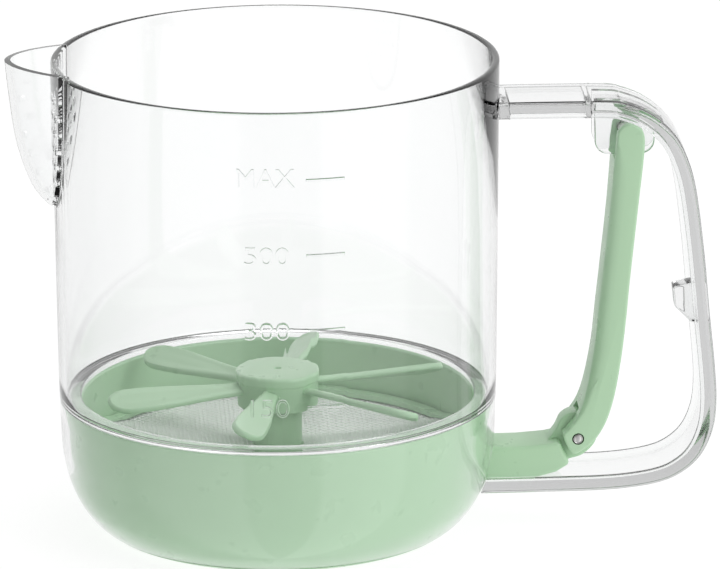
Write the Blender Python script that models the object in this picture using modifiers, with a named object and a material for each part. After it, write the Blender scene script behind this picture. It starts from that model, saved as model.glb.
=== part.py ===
"""Flour sifter with a squeeze handle.

A clear cup stands on a green sieve base.  Squeezing the lever draws a rack out of the crossbar under the
sieve; the rack turns a pinion, and the pinion's shaft turns the impeller over the mesh.  A spring draws
the rack back.

Frame: metres, +Z up, +X towards the handle, -X towards the spout, origin at the middle of the footprint.
"""

import math

import bmesh
import bpy
from mathutils import Matrix, Vector

MM = 0.001
GAP = 0.3 * MM
STRAIGHT = 1e-9

# Cup
CUP_X = -21.8 * MM
RIM_RADIUS = 57.0 * MM
RIM_Z = 123.5 * MM
LIP = 0.6 * MM
CUP_WALL = 1.8 * MM
SHOULDER_RADIUS = 56.15 * MM
SHOULDER_Z = 40.0 * MM
LEDGE_RADIUS = 50.4 * MM
LEDGE_Z = 34.8 * MM
LEDGE_THICKNESS = 1.4 * MM
SKIRT_END_Z = 2.0 * MM
SKIRT_THIN_Z = 9.0 * MM
SKIRT_FULL_Z = 18.0 * MM
SKIRT_THIN_WALL = 0.9 * MM
TURN_STEPS = 60

# Rounded foot shared by the skirt and the sieve base
FOOT_RADIUS = 40.0 * MM
FOOT_BULGE = 15.7 * MM
FOOT_HEIGHT = 26.0 * MM
FOOT_RINGS = [z * MM for z in (24.0, 20.0, 16.5, 13.5, 11.0, 8.7, 6.4, 4.2)]

# Spout and its strainer
SPOUT_TIP_Z = 124.0 * MM
SPOUT_WALL = 1.5 * MM
SPOUT_HALF_ANGLE = math.radians(18.0)
SPOUT_PROFILE = [
    (85.6, 0.3), (86.7, 1.8), (89.0, 3.9), (91.8, 5.6),
    (98.0, 7.9), (104.0, 9.4), (112.0, 10.5), (124.0, 11.65),
]
STRAINER_ROWS = 7
STRAINER_TOP_Z = 115.4 * MM
STRAINER_PITCH = 4.2 * MM
STRAINER_HOLE_RADIUS = 1.0 * MM

# Handle
HANDLE_WIDTH = 22.0 * MM
HANDLE_DEPTH = 4.2 * MM
HANDLE_FLOOR = 2.0 * MM
HANDLE_SIDE = 1.9 * MM
HANDLE_OUTER = [
    (30.0, 113.0), (60.0, 112.9), (67.3, 111.9), (73.8, 108.9), (79.2, 103.9), (82.6, 97.5),
    (84.9, 89.0), (87.0, 73.0), (88.6, 56.0), (90.0, 42.0), (90.45, 33.0), (89.6, 25.6), (86.8, 19.0),
    (82.2, 14.4), (75.8, 11.5), (65.0, 9.9), (50.0, 9.5), (26.0, 9.4),
]
EAR_TOP = [(74.6, 107.2), (73.0, 108.4), (70.0, 110.0), (66.0, 111.4), (59.0, 111.9)]
EAR_FRONT_X = 59.2 * MM
EAR_BACK_X = 74.5 * MM
EAR_BOTTOM_Z = 97.9 * MM
EAR_CORNER = 3.5 * MM
EAR_INNER_Y = 3.8 * MM
EAR_OUTER_Y = 5.7 * MM
HOOK = [(79.6, 61.6), (80.1, 56.4), (84.6, 52.0), (88.0, 52.0), (88.0, 63.0), (84.0, 62.6)]
HOOK_WIDTH = 6.0 * MM

# Lever
LEVER_WIDTH = 16.0 * MM
PIVOT_X = 67.5 * MM
PIVOT_Z = 103.0 * MM
PIVOT_PIN_RADIUS = 1.5 * MM
PIVOT_PIN_REACH = 7.0 * MM
FOOT_PIN_X = 55.0 * MM
FOOT_PIN_Z = 23.0 * MM
FOOT_PIN_RADIUS = 1.25 * MM
LEVER_OUTLINE = [
    (64.6, 101.5), (65.2, 104.6), (67.4, 106.2), (69.9, 105.6), (71.6, 103.6), (71.7, 98.4), (70.3, 85.0),
    (68.2, 65.0), (67.4, 56.0), (66.3, 46.0), (64.9, 37.0), (63.5, 31.0), (61.8, 26.4), (59.4, 22.6),
    (56.9, 20.3), (53.6, 19.0), (51.2, 23.6), (52.2, 25.2), (54.4, 28.0), (56.0, 31.2), (57.5, 36.6),
    (59.2, 46.2), (60.3, 57.0), (61.3, 66.0), (63.2, 84.0),
]
LEVER_SIDE = 1.9 * MM
LEVER_FACE = 2.4 * MM
LEVER_POCKET = (33.0 * MM, 102.0 * MM)
LEVER_FACE_TOP_Z = 96.6 * MM
FORK_SLOT = 7.0 * MM

# Arm, rack and pinion
ARM_WIDTH = 14.0 * MM
ARM_OUTLINE = [
    (31.0, 12.2), (44.0, 12.4), (49.4, 13.8), (53.0, 16.0),
    (50.4, 22.0), (47.0, 21.3), (40.0, 20.8), (31.0, 20.7),
]
TONGUE_WIDTH = 6.0 * MM
TONGUE_OUTLINE = [
    (46.0, 15.0), (54.0, 16.4), (57.0, 17.6), (59.6, 20.3),
    (60.4, 23.6), (58.9, 26.6), (56.0, 28.4), (53.4, 28.5),
    (51.0, 27.0), (49.5, 24.0), (46.0, 19.0),
]
PIN_DROP = 1.0 * MM
RACK_Z = 14.6 * MM
RACK_HEIGHT = 5.2 * MM
ROD_RADIUS = 1.6 * MM
MODULE = 1.0 * MM
PINION_TEETH = 12
PRESSURE_ANGLE = math.radians(25.0)
BACKLASH = 0.35 * MM
TOOTH_ADDENDUM = 0.9 * MM
TOOTH_DEDENDUM = 1.35 * MM
STROKE = 20.43 * MM
RACK_HALF_WIDTH = 10.0 * MM
RACK_RAIL_INNER_Y = 7.5 * MM
SHAFT_RADIUS = 2.5 * MM

# Sieve base and crossbar
MESH_Z = 19.7 * MM
MESH_THICKNESS = 0.4 * MM
MESH_RADIUS = 50.0 * MM
SEAT_RADIUS = 46.5 * MM
SEAT_Z = 17.5 * MM
BOWL_TOP_Z = 34.5 * MM
BOWL_INNER_RADIUS = 50.3 * MM
BOWL_SKIN = 2.0 * MM
BOWL_MOUTH_RADIUS = 38.0 * MM
BAR_HALF_LENGTH = 44.4 * MM
BAR_END_LENGTH = 47.8 * MM
BAR_HALF_WIDTH = 12.4 * MM
BAR_WALL = 1.8 * MM
BAR_TOP_Z = 19.1 * MM
BAR_ROOF = 1.5 * MM
BAR_BOTTOM_Z = 9.6 * MM
COVER_THICKNESS = 1.3 * MM
BAR_CAVITY = (-56.0 * MM, 19.0 * MM)
POST_RADIUS = 6.2 * MM
POST_TOP_Z = 31.4 * MM
BUSH_RADIUS = 4.2 * MM
SPRING_RADIUS = 2.35 * MM
SPRING_WIRE = 0.6 * MM
SPRING_TURNS = 10
SCREW_RADIUS = 0.8 * MM
SCREW_HEAD_RADIUS = 1.9 * MM

# Impeller
HUB_RADIUS = 10.85 * MM
HUB_TOP_Z = 41.3 * MM
HUB_BOTTOM_Z = 32.0 * MM
BLADE_COUNT = 6
BLADE_TIP_RADIUS = 45.5 * MM
BLADE_ROOT_RADIUS = 9.0 * MM
BLADE_Z = 36.8 * MM
BLADE_PITCH = math.radians(26.0)
BLADE_THICKNESS = 1.3 * MM
BLADE_START_ANGLE = math.radians(17.0)

MATERIALS = {
    "clear_plastic": ((0.93, 0.95, 0.95), 0.05, 0.0),
    "green_plastic": ((0.52, 0.76, 0.55), 0.35, 0.0),
    "steel_mesh": ((0.70, 0.70, 0.70), 0.40, 0.9),
    "steel": ((0.72, 0.72, 0.70), 0.30, 1.0),
    "white_plastic": ((0.85, 0.86, 0.84), 0.40, 0.0),
    "bronze": ((0.66, 0.50, 0.30), 0.45, 0.9),
}


# ---------------------------------------------------------------- helpers


def clear_scene():
    for obj in list(bpy.data.objects):
        bpy.data.objects.remove(obj, do_unlink=True)


def make_collection(name):
    collection = bpy.data.collections.new(name)
    bpy.context.scene.collection.children.link(collection)
    return collection


def make_materials():
    made = {}
    for name, (colour, roughness, metallic) in MATERIALS.items():
        material = bpy.data.materials.new(name)
        material.use_nodes = True
        shader = material.node_tree.nodes["Principled BSDF"]
        shader.inputs["Base Color"].default_value = (*colour, 1.0)
        shader.inputs["Roughness"].default_value = roughness
        shader.inputs["Metallic"].default_value = metallic
        made[name] = material
    return made


def add_object(name, mesh, collection, material=None):
    """An object of the mesh; one without a material is a cutter or a shape to be joined on."""
    obj = bpy.data.objects.new(name, mesh)
    collection.objects.link(obj)
    if material:
        mesh.materials.append(material)
    else:
        obj.hide_render = True
        obj.display_type = "WIRE"
    return obj


def mesh_from(bm, name):
    mesh = bpy.data.meshes.new(name)
    bm.to_mesh(mesh)
    bm.free()
    return mesh


def put_origin(obj, place):
    """Moves the object's origin to a world point and leaves its shape where it is."""
    bpy.context.view_layer.update()
    shift = obj.matrix_world.inverted() @ Vector(place)
    obj.data.transform(Matrix.Translation(-shift))
    obj.location = place


def hang_on(obj, parent):
    """Makes the object a child of another one and leaves it where it is."""
    bpy.context.view_layer.update()
    obj.parent = parent
    obj.matrix_parent_inverse = parent.matrix_world.inverted()


def box(name, low, high, collection, material=None):
    bm = bmesh.new()
    size = [h - l for l, h in zip(low, high)]
    middle = [(h + l) / 2 for l, h in zip(low, high)]
    bmesh.ops.create_cube(bm, size=1.0, matrix=Matrix.Translation(middle) @ Matrix.Diagonal((*size, 1.0)))
    return add_object(name, mesh_from(bm, name), collection, material)


def rod_between(bm, start, end, radius, sides):
    """Adds a closed cylinder from start to end to the bmesh."""
    start = Vector(start)
    end = Vector(end)
    turn = (end - start).to_track_quat("Z", "Y").to_matrix().to_4x4()
    place = Matrix.Translation((start + end) / 2) @ turn
    length = (end - start).length
    bmesh.ops.create_cone(
        bm, cap_ends=True, segments=sides, radius1=radius, radius2=radius, depth=length, matrix=place
    )


def rod(name, start, end, radius, collection, material=None, sides=24):
    """A cylinder with its origin at its middle."""
    middle = (Vector(start) + Vector(end)) / 2
    bm = bmesh.new()
    rod_between(bm, Vector(start) - middle, Vector(end) - middle, radius, sides)
    obj = add_object(name, mesh_from(bm, name), collection, material)
    obj.location = middle
    return obj


def turned(name, profile, centre, collection, material=None, closed=True, steps=TURN_STEPS):
    """A turned solid about a vertical axis; the profile runs down its outer side."""
    bm = bmesh.new()
    verts = [bm.verts.new((r, 0.0, z)) for r, z in profile]
    for a, b in zip(verts, verts[1:]):
        bm.edges.new((a, b))
    if closed:
        bm.edges.new((verts[-1], verts[0]))
    obj = add_object(name, mesh_from(bm, name), collection, material)
    obj.location = centre
    screw = obj.modifiers.new("turn", "SCREW")
    screw.steps = steps
    screw.render_steps = steps
    screw.use_merge_vertices = True
    screw.merge_threshold = 0.00001
    screw.use_smooth_shade = False
    return obj


def ring_profile(inner, outer, bottom, top):
    return [(outer, top), (outer, bottom), (inner, bottom), (inner, top)]


def disc_profile(radius, bottom, top):
    return [(0.0, top), (radius, top), (radius, bottom), (0.0, bottom)]


def without_straight_points(outline):
    """The closed outline without the points that lie on a straight run between their neighbours."""
    kept = []
    for i, (x, z) in enumerate(outline):
        before = outline[i - 1]
        after = outline[(i + 1) % len(outline)]
        bend = (x - before[0]) * (after[1] - z) - (z - before[1]) * (after[0] - x)
        if abs(bend) > STRAIGHT:
            kept.append((x, z))
    return kept


def plate(name, outline, width, collection, material=None, middle_y=0.0):
    """A flat outline of (x, z) points, standing upright and as wide as asked along Y."""
    outline = without_straight_points(outline)
    curve = bpy.data.curves.new(name, "CURVE")
    curve.dimensions = "2D"
    curve.fill_mode = "BOTH"
    curve.extrude = width / 2
    spline = curve.splines.new("POLY")
    spline.points.add(len(outline) - 1)
    for point, (x, z) in zip(spline.points, outline):
        point.co = (x, z, 0.0, 1.0)
    spline.use_cyclic_u = True
    upright = Matrix.Rotation(math.pi / 2, 4, "X")
    return mesh_of_curve(name, curve, upright, (0.0, middle_y, 0.0), collection, material)


def mesh_of_curve(name, curve, turn, place, collection, material):
    """Makes the curve a welded mesh object and removes the curve."""
    source = bpy.data.objects.new(name + "_curve", curve)
    collection.objects.link(source)
    source.matrix_world = Matrix.Translation(place) @ turn
    bpy.context.view_layer.update()
    evaluated = source.evaluated_get(bpy.context.evaluated_depsgraph_get())
    mesh = bpy.data.meshes.new_from_object(evaluated)
    bm = bmesh.new()
    bm.from_mesh(mesh)
    bmesh.ops.remove_doubles(bm, verts=bm.verts, dist=0.000005)
    bmesh.ops.recalc_face_normals(bm, faces=bm.faces)
    bm.to_mesh(mesh)
    bm.free()
    mesh.materials.clear()
    obj = add_object(name, mesh, collection, material)
    obj.matrix_world = source.matrix_world
    bpy.data.objects.remove(source, do_unlink=True)
    return obj


def combine(obj, other, operation):
    change = obj.modifiers.new(other.name, "BOOLEAN")
    change.operation = operation
    change.object = other
    change.solver = "EXACT"


def cut(obj, *cutters):
    for cutter in cutters:
        combine(obj, cutter, "DIFFERENCE")


def join(obj, *others):
    for other in others:
        combine(obj, other, "UNION")


def smooth_path(points, per_span, closed=False):
    """Points of a smooth curve through the given (x, z) points, with the asked number in each span."""
    count = len(points)
    spans = count if closed else count - 1
    path = []
    for i in range(spans):
        if closed:
            p = [Vector(points[(i + k - 1) % count]) for k in range(4)]
        else:
            p = [Vector(points[min(max(i + k - 1, 0), count - 1)]) for k in range(4)]
        for j in range(per_span):
            t = j / per_span
            path.append(
                0.5
                * (
                    2 * p[1]
                    + (p[2] - p[0]) * t
                    + (2 * p[0] - 5 * p[1] + 4 * p[2] - p[3]) * t**2
                    + (3 * p[1] - p[0] - 3 * p[2] + p[3]) * t**3
                )
            )
    if not closed:
        path.append(Vector(points[-1]))
    return [(p.x, p.y) for p in path]


def offset_path(path, distance):
    """The open path moved sideways, to its right as it runs."""
    moved = []
    for i, point in enumerate(path):
        before = Vector(path[max(i - 1, 0)])
        after = Vector(path[min(i + 1, len(path) - 1)])
        along = (after - before).normalized()
        moved.append((point[0] + along.y * distance, point[1] - along.x * distance))
    return moved


def in_metres(points):
    return [(x * MM, z * MM) for x, z in points]


def arc(radius, start, end, count, centre=(0.0, 0.0)):
    """Points on an arc, both ends included, angles in radians."""
    angles = [start + (end - start) * i / (count - 1) for i in range(count)]
    return [(centre[0] + radius * math.cos(a), centre[1] + radius * math.sin(a)) for a in angles]


# ---------------------------------------------------------------- outer form


def body_radius(z):
    """Radius of the outside of the cup, skirt and base at a height."""
    if z < FOOT_HEIGHT:
        return FOOT_RADIUS + FOOT_BULGE * math.sqrt(1 - ((FOOT_HEIGHT - z) / FOOT_HEIGHT) ** 2)
    foot = FOOT_RADIUS + FOOT_BULGE
    if z < SHOULDER_Z:
        return foot + (SHOULDER_RADIUS - foot) * (z - FOOT_HEIGHT) / (SHOULDER_Z - FOOT_HEIGHT)
    return SHOULDER_RADIUS + (RIM_RADIUS - SHOULDER_RADIUS) * (z - SHOULDER_Z) / (RIM_Z - SHOULDER_Z)


def skirt_wall(z):
    """Wall of the clear skirt, measured level; it is thinner round the curve of the foot."""
    share = min(1.0, max(0.0, (z - SKIRT_THIN_Z) / (SKIRT_FULL_Z - SKIRT_THIN_Z)))
    return SKIRT_THIN_WALL + (CUP_WALL - SKIRT_THIN_WALL) * share


def base_radius(z):
    """Radius of the outside of the sieve base: inside the skirt, and flush with it below."""
    if z < SKIRT_END_Z - GAP / 2:
        return body_radius(z)
    return body_radius(z) - skirt_wall(z) - GAP


def cup_profile():
    heights = [SHOULDER_Z, FOOT_HEIGHT + 4 * MM] + FOOT_RINGS + [SKIRT_END_Z]
    outer = [(RIM_RADIUS - LIP, RIM_Z), (RIM_RADIUS, RIM_Z - LIP)]
    outer += [(body_radius(z), z) for z in heights]
    skirt = [(body_radius(z) - skirt_wall(z), z) for z in reversed(heights[1:])]
    under_ledge = body_radius(LEDGE_Z) - CUP_WALL
    ledge_top = LEDGE_Z + LEDGE_THICKNESS
    ledge = [
        (under_ledge, LEDGE_Z), (LEDGE_RADIUS, LEDGE_Z), (LEDGE_RADIUS, ledge_top),
        (body_radius(ledge_top) - CUP_WALL, ledge_top),
    ]
    inner = [
        (SHOULDER_RADIUS - CUP_WALL, SHOULDER_Z), (RIM_RADIUS - CUP_WALL, RIM_Z - LIP),
        (RIM_RADIUS - CUP_WALL + LIP, RIM_Z),
    ]
    return outer + skirt + ledge + inner


def spout_reach(z):
    """How far the spout stands out from the cup at a height, from its side profile."""
    for (low, near), (high, far) in zip(SPOUT_PROFILE, SPOUT_PROFILE[1:]):
        if z <= high * MM:
            return (near + (far - near) * (z / MM - low) / (high - low)) * MM
    return SPOUT_PROFILE[-1][1] * MM


def spout_half_angle(z):
    return SPOUT_HALF_ANGLE * math.sqrt(max(spout_reach(z), 0.0) / (SPOUT_PROFILE[-1][1] * MM))


def spout_section(z, columns):
    """The spout's outside in plan at one height, from its front edge round the tip to its back edge."""
    tip_softness = 0.16
    full = math.sqrt(1 + tip_softness**2) - tip_softness
    wall = body_radius(z)
    points = []
    for i in range(columns):
        t = 2 * i / (columns - 1) - 1
        share = (math.sqrt(t * t + tip_softness**2) - tip_softness) / full
        stand = 0.5 * (1 - share) + 0.5 * math.cos(math.pi * share / 2)
        radius = wall - 0.9 * MM + (spout_reach(z) + 0.9 * MM) * stand
        angle = math.pi + spout_half_angle(z) * t * 1.04
        points.append((CUP_X + radius * math.cos(angle), radius * math.sin(angle), z))
    return points


def make_spout(collection):
    """An open curved sheet thickened inwards, to be joined to the cup."""
    columns = 17
    heights = [p[0] * MM for p in SPOUT_PROFILE]
    heights.insert(-1, 118.0 * MM)
    bm = bmesh.new()
    rows = []
    for z in heights:
        top = z >= RIM_Z
        row = []
        for i, (x, y, height) in enumerate(spout_section(min(z, RIM_Z), columns)):
            lift = (SPOUT_TIP_Z - RIM_Z) * math.cos((i / (columns - 1) - 0.5) * math.pi) if top else 0.0
            row.append(bm.verts.new((x, y, (RIM_Z if top else height) + lift)))
        rows.append(row)
    for lower, upper in zip(rows, rows[1:]):
        for i in range(columns - 1):
            bm.faces.new((lower[i], upper[i], upper[i + 1], lower[i + 1]))
    bmesh.ops.recalc_face_normals(bm, faces=bm.faces)
    outward = sum((f.normal.x for f in bm.faces))
    if outward > 0:
        bmesh.ops.reverse_faces(bm, faces=bm.faces)
    spout = add_object("spout_shell", mesh_from(bm, "spout_shell"), collection)
    wall = spout.modifiers.new("wall", "SOLIDIFY")
    wall.thickness = SPOUT_WALL
    wall.offset = -1.0
    return spout


def make_strainer_holes(collection):
    """Staggered rows of holes through the cup's wall behind the spout."""
    bm = bmesh.new()
    wall_radius = RIM_RADIUS - CUP_WALL / 2
    for row in range(STRAINER_ROWS):
        z = STRAINER_TOP_Z - row * STRAINER_PITCH
        reach = spout_half_angle(z) * wall_radius - 4.5 * MM
        half = int(reach / STRAINER_PITCH + 0.5 * (row % 2)) + 1
        for k in range(-half, half + 1):
            side = (k + 0.5 * (row % 2)) * STRAINER_PITCH
            if abs(side) > reach:
                continue
            angle = math.pi + side / wall_radius
            aim = Vector((math.cos(angle), math.sin(angle), 0.0))
            centre = Vector((CUP_X, 0.0, z)) + aim * wall_radius
            rod_between(bm, centre - aim * 1.6 * MM, centre + aim * 1.6 * MM, STRAINER_HOLE_RADIUS, 8)
    return add_object("strainer_holes", mesh_from(bm, "strainer_holes"), collection)


def make_cup(parts, cutters, clear):
    cup = turned("cup", cup_profile(), (CUP_X, 0.0, 0.0), parts, clear)
    half = ARM_WIDTH / 2 + 2 * GAP
    slot = box("arm_slot", (28.0 * MM, -half, 11.7 * MM), (40.0 * MM, half, 21.4 * MM), cutters)
    join(cup, make_spout(cutters))
    cut(cup, make_strainer_holes(cutters), slot)
    return cup


# ---------------------------------------------------------------- handle and lever


def make_handle(parts, cutters, clear):
    outer = smooth_path(in_metres(HANDLE_OUTER), 3)
    inner = offset_path(outer, HANDLE_DEPTH)
    handle = plate("handle", outer + inner[::-1], HANDLE_WIDTH, parts, clear)
    longer = [(outer[0][0] - 3 * MM, outer[0][1])] + outer + [(outer[-1][0] - 3 * MM, outer[-1][1])]
    floor = offset_path(longer, HANDLE_FLOOR)
    beyond = offset_path(longer, HANDLE_DEPTH + 2 * MM)
    channel = plate("handle_channel", floor + beyond[::-1], HANDLE_WIDTH - 2 * HANDLE_SIDE, cutters)
    cut(handle, channel)
    corner_z = EAR_BOTTOM_Z + EAR_CORNER
    front = (EAR_FRONT_X + EAR_CORNER, corner_z)
    back = (EAR_BACK_X - EAR_CORNER, corner_z)
    ear_outline = arc(EAR_CORNER, math.pi, 1.5 * math.pi, 7, front)
    ear_outline += arc(EAR_CORNER, 1.5 * math.pi, 2 * math.pi, 7, back)
    ear_outline += in_metres(EAR_TOP)
    for side, label in ((-1, "near"), (1, "far")):
        middle = side * (EAR_OUTER_Y + EAR_INNER_Y) / 2
        wide = EAR_OUTER_Y - EAR_INNER_Y
        join(handle, plate("ear_" + label, ear_outline, wide, cutters, middle_y=middle))
    join(handle, plate("hook", in_metres(HOOK), HOOK_WIDTH, cutters))
    pin_hole = rod(
        "pivot_hole", (PIVOT_X, -20 * MM, PIVOT_Z), (PIVOT_X, 20 * MM, PIVOT_Z),
        PIVOT_PIN_RADIUS + GAP, cutters,
    )
    clearance = [(0.0, 125 * MM), (RIM_RADIUS + GAP, 125 * MM)]
    clearance += [(body_radius(z) + GAP, z) for z in [SHOULDER_Z] + FOOT_RINGS]
    clearance += [(0.0, FOOT_RINGS[-1])]
    cup_space = turned("cup_space", clearance, (CUP_X, 0.0, 0.0), cutters, closed=False)
    cut(handle, pin_hole, cup_space)
    return handle


def make_lever(parts, cutters, green):
    outline = smooth_path(in_metres(LEVER_OUTLINE), 2, closed=True)
    lever = plate("lever", outline, LEVER_WIDTH, parts, green)
    put_origin(lever, (PIVOT_X, 0.0, PIVOT_Z))
    low, high = LEVER_POCKET
    shape = in_metres(LEVER_OUTLINE)
    back_edge = [p for p in shape[15:] + shape[:1] if low <= p[1] <= high]
    pocket_outline = [(x + LEVER_FACE, z) for x, z in back_edge]
    pocket_outline += [(x + 12 * MM, z) for x, z in back_edge[::-1]]
    pocket = plate("lever_pocket", pocket_outline, LEVER_WIDTH - 2 * LEVER_SIDE, cutters)
    fork = box("fork_slot", (45 * MM, -FORK_SLOT / 2, 15 * MM), (62 * MM, FORK_SLOT / 2, 30 * MM), cutters)
    wide = LEVER_WIDTH / 2 - LEVER_SIDE
    ear_space = box("ear_space", (60 * MM, -wide, LEVER_FACE_TOP_Z), (76 * MM, wide, 108 * MM), cutters)
    cut(lever, pocket, fork, ear_space)
    for place, x, z, radius, reach in (
        ("top", PIVOT_X, PIVOT_Z, PIVOT_PIN_RADIUS, PIVOT_PIN_REACH + GAP),
        ("foot", FOOT_PIN_X, FOOT_PIN_Z, FOOT_PIN_RADIUS, LEVER_WIDTH),
    ):
        cut(lever, rod("lever_hole_" + place, (x, -reach, z), (x, reach, z), radius + GAP, cutters))
    return lever


def make_pins(parts, lever, steel):
    """The pivot pin stays in the handle's ears, its ends in blind holes; the foot pin moves with the lever."""
    rod(
        "lever_pivot_pin", (PIVOT_X, -PIVOT_PIN_REACH, PIVOT_Z), (PIVOT_X, PIVOT_PIN_REACH, PIVOT_Z),
        PIVOT_PIN_RADIUS, parts, steel,
    )
    reach = LEVER_WIDTH / 2 + 0.2 * MM
    low = (FOOT_PIN_X, -reach, FOOT_PIN_Z)
    high = (FOOT_PIN_X, reach, FOOT_PIN_Z)
    hang_on(rod("lever_foot_pin", low, high, FOOT_PIN_RADIUS, parts, steel), lever)


# ---------------------------------------------------------------- rack and pinion


def rack_teeth(collection):
    """Straight-sided teeth on the rail at -Y; at rest a tooth gap is centred on the pinion."""
    pitch = math.pi * MODULE
    slope = math.tan(PRESSURE_ANGLE)
    line_y = -PINION_TEETH * MODULE / 2
    half = pitch / 4 - BACKLASH / 4
    bottom = RACK_Z - RACK_HEIGHT / 2
    top = RACK_Z + RACK_HEIGHT / 2
    bm = bmesh.new()
    count = int((STROKE + 10 * MM) / pitch) + 1
    for k in range(-count, 3):
        x = CUP_X + k * pitch
        root_y = line_y - TOOTH_DEDENDUM - 0.2 * MM
        tip_y = line_y + TOOTH_ADDENDUM
        wide = half + (line_y - root_y) * slope
        narrow = half - TOOTH_ADDENDUM * slope
        plan = [(x - wide, root_y), (x + wide, root_y), (x + narrow, tip_y), (x - narrow, tip_y)]
        lower = [bm.verts.new((px, py, bottom)) for px, py in plan]
        face = bm.faces.new(lower)
        grown = bmesh.ops.extrude_face_region(bm, geom=[face])
        verts = [v for v in grown["geom"] if isinstance(v, bmesh.types.BMVert)]
        bmesh.ops.translate(bm, verts=verts, vec=(0.0, 0.0, top - bottom))
    bmesh.ops.recalc_face_normals(bm, faces=bm.faces)
    return add_object("rack_teeth", mesh_from(bm, "rack_teeth"), collection)


def make_rack_arm(parts, cutters, green):
    """Arm, tongue, rod and toothed frame: one moulding that slides along X."""
    arm = plate("rack_arm", in_metres(ARM_OUTLINE), ARM_WIDTH, parts, green)
    put_origin(arm, (0.0, 0.0, RACK_Z))
    tongue_path = smooth_path(in_metres(TONGUE_OUTLINE), 2, closed=True)
    tongue = plate("arm_tongue", tongue_path, TONGUE_WIDTH, cutters)
    bottom = RACK_Z - RACK_HEIGHT / 2
    top = RACK_Z + RACK_HEIGHT / 2
    clearance = PINION_TEETH * MODULE / 2 + MODULE + 1.2 * MM
    window = (CUP_X - STROKE - clearance, CUP_X + clearance)
    rail = 2.6 * MM
    frame = box(
        "rack_frame", (window[0] - rail, -RACK_HALF_WIDTH, bottom),
        (window[1] + rail, RACK_HALF_WIDTH, top), cutters,
    )
    line_y = -PINION_TEETH * MODULE / 2
    opening = box(
        "rack_window", (window[0], line_y - TOOTH_DEDENDUM, bottom - MM),
        (window[1], RACK_RAIL_INNER_Y, top + MM), cutters,
    )
    cut(frame, opening)
    join(frame, rack_teeth(cutters))
    neck = rod(
        "rack_rod", (window[1] + MM, 0.0, RACK_Z), (33.0 * MM, 0.0, RACK_Z), ROD_RADIUS, cutters, sides=20
    )
    join(arm, tongue, neck, frame)
    eye_radius = FOOT_PIN_RADIUS + GAP
    reach = 5 * MM
    for place, z in (("low", FOOT_PIN_Z - PIN_DROP), ("high", FOOT_PIN_Z)):
        cut(arm, rod("eye_" + place, (FOOT_PIN_X, -reach, z), (FOOT_PIN_X, reach, z), eye_radius, cutters))
    between = box(
        "eye_middle", (FOOT_PIN_X - eye_radius, -reach, FOOT_PIN_Z - PIN_DROP),
        (FOOT_PIN_X + eye_radius, reach, FOOT_PIN_Z), cutters,
    )
    cut(arm, between)
    return window[1] + rail


def involute_half_thickness(radius, pitch_radius, base_radius_of_gear, half_at_pitch):
    """Half the angle that a tooth takes up at a radius outside the base circle."""

    def involute(r):
        angle = math.acos(min(1.0, base_radius_of_gear / r))
        return math.tan(angle) - angle

    return half_at_pitch + involute(pitch_radius) - involute(radius)


def make_pinion(parts, cutters, white):
    """A spur gear with a tooth gap facing the rack at rest."""
    pitch_radius = PINION_TEETH * MODULE / 2
    base = pitch_radius * math.cos(PRESSURE_ANGLE)
    tip = pitch_radius + TOOTH_ADDENDUM
    root = pitch_radius - TOOTH_DEDENDUM
    half_at_pitch = (math.pi * MODULE / 2 - BACKLASH / 2) / 2 / pitch_radius
    flank = [root, base, base + (tip - base) * 0.35, base + (tip - base) * 0.7, tip]
    outline = []
    for k in range(PINION_TEETH):
        middle = -math.pi / 2 + (k + 0.5) * 2 * math.pi / PINION_TEETH
        halves = [
            involute_half_thickness(max(r, base), pitch_radius, base, half_at_pitch) for r in flank
        ]
        outline += [(r, middle - h) for r, h in zip(flank, halves)]
        outline += [(r, middle + h) for r, h in zip(flank[::-1], halves[::-1])]
    bm = bmesh.new()
    bottom = RACK_Z - RACK_HEIGHT / 2 + 0.2 * MM
    face = bm.faces.new([bm.verts.new((r * math.cos(a), r * math.sin(a), bottom)) for r, a in outline])
    grown = bmesh.ops.extrude_face_region(bm, geom=[face])
    verts = [v for v in grown["geom"] if isinstance(v, bmesh.types.BMVert)]
    bmesh.ops.translate(bm, verts=verts, vec=(0.0, 0.0, RACK_HEIGHT - 0.4 * MM))
    bmesh.ops.recalc_face_normals(bm, faces=bm.faces)
    pinion = add_object("pinion", mesh_from(bm, "pinion"), parts, white)
    pinion.location = (CUP_X, 0.0, 0.0)
    bore = rod("pinion_bore", (CUP_X, 0.0, 5 * MM), (CUP_X, 0.0, 25 * MM), SHAFT_RADIUS + GAP, cutters)
    cut(pinion, bore)
    return bottom


def make_shaft_train(parts, cutters, materials, pinion_bottom):
    steel = materials["steel"]
    washer_top = pinion_bottom - GAP
    washer_bottom = washer_top - 0.6 * MM
    clip_bottom = washer_bottom - GAP - 0.5 * MM
    turned(
        "thrust_washer", ring_profile(SHAFT_RADIUS + GAP, 5.0 * MM, washer_bottom, washer_top),
        (CUP_X, 0.0, 0.0), parts, materials["white_plastic"], steps=32,
    )
    turned(
        "shaft_clip", ring_profile(SHAFT_RADIUS - 0.2 * MM, 4.2 * MM, clip_bottom, washer_bottom - GAP),
        (CUP_X, 0.0, 0.0), parts, steel, steps=32,
    )
    shaft = turned(
        "impeller_shaft", disc_profile(SHAFT_RADIUS, clip_bottom - 0.2 * MM, 38.2 * MM), (CUP_X, 0.0, 0.0),
        parts, steel, closed=False, steps=32,
    )
    groove_bottom = clip_bottom - GAP / 2
    groove_top = washer_bottom - GAP / 2
    groove = turned(
        "clip_groove", ring_profile(SHAFT_RADIUS - 0.5 * MM, 6 * MM, groove_bottom, groove_top),
        (CUP_X, 0.0, 0.0), cutters, steps=32,
    )
    cut(shaft, groove)
    turned(
        "shaft_bush", ring_profile(SHAFT_RADIUS + GAP, BUSH_RADIUS, BAR_TOP_Z + 0.4 * MM, POST_TOP_Z),
        (CUP_X, 0.0, 0.0), parts, materials["bronze"], steps=32,
    )


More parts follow.
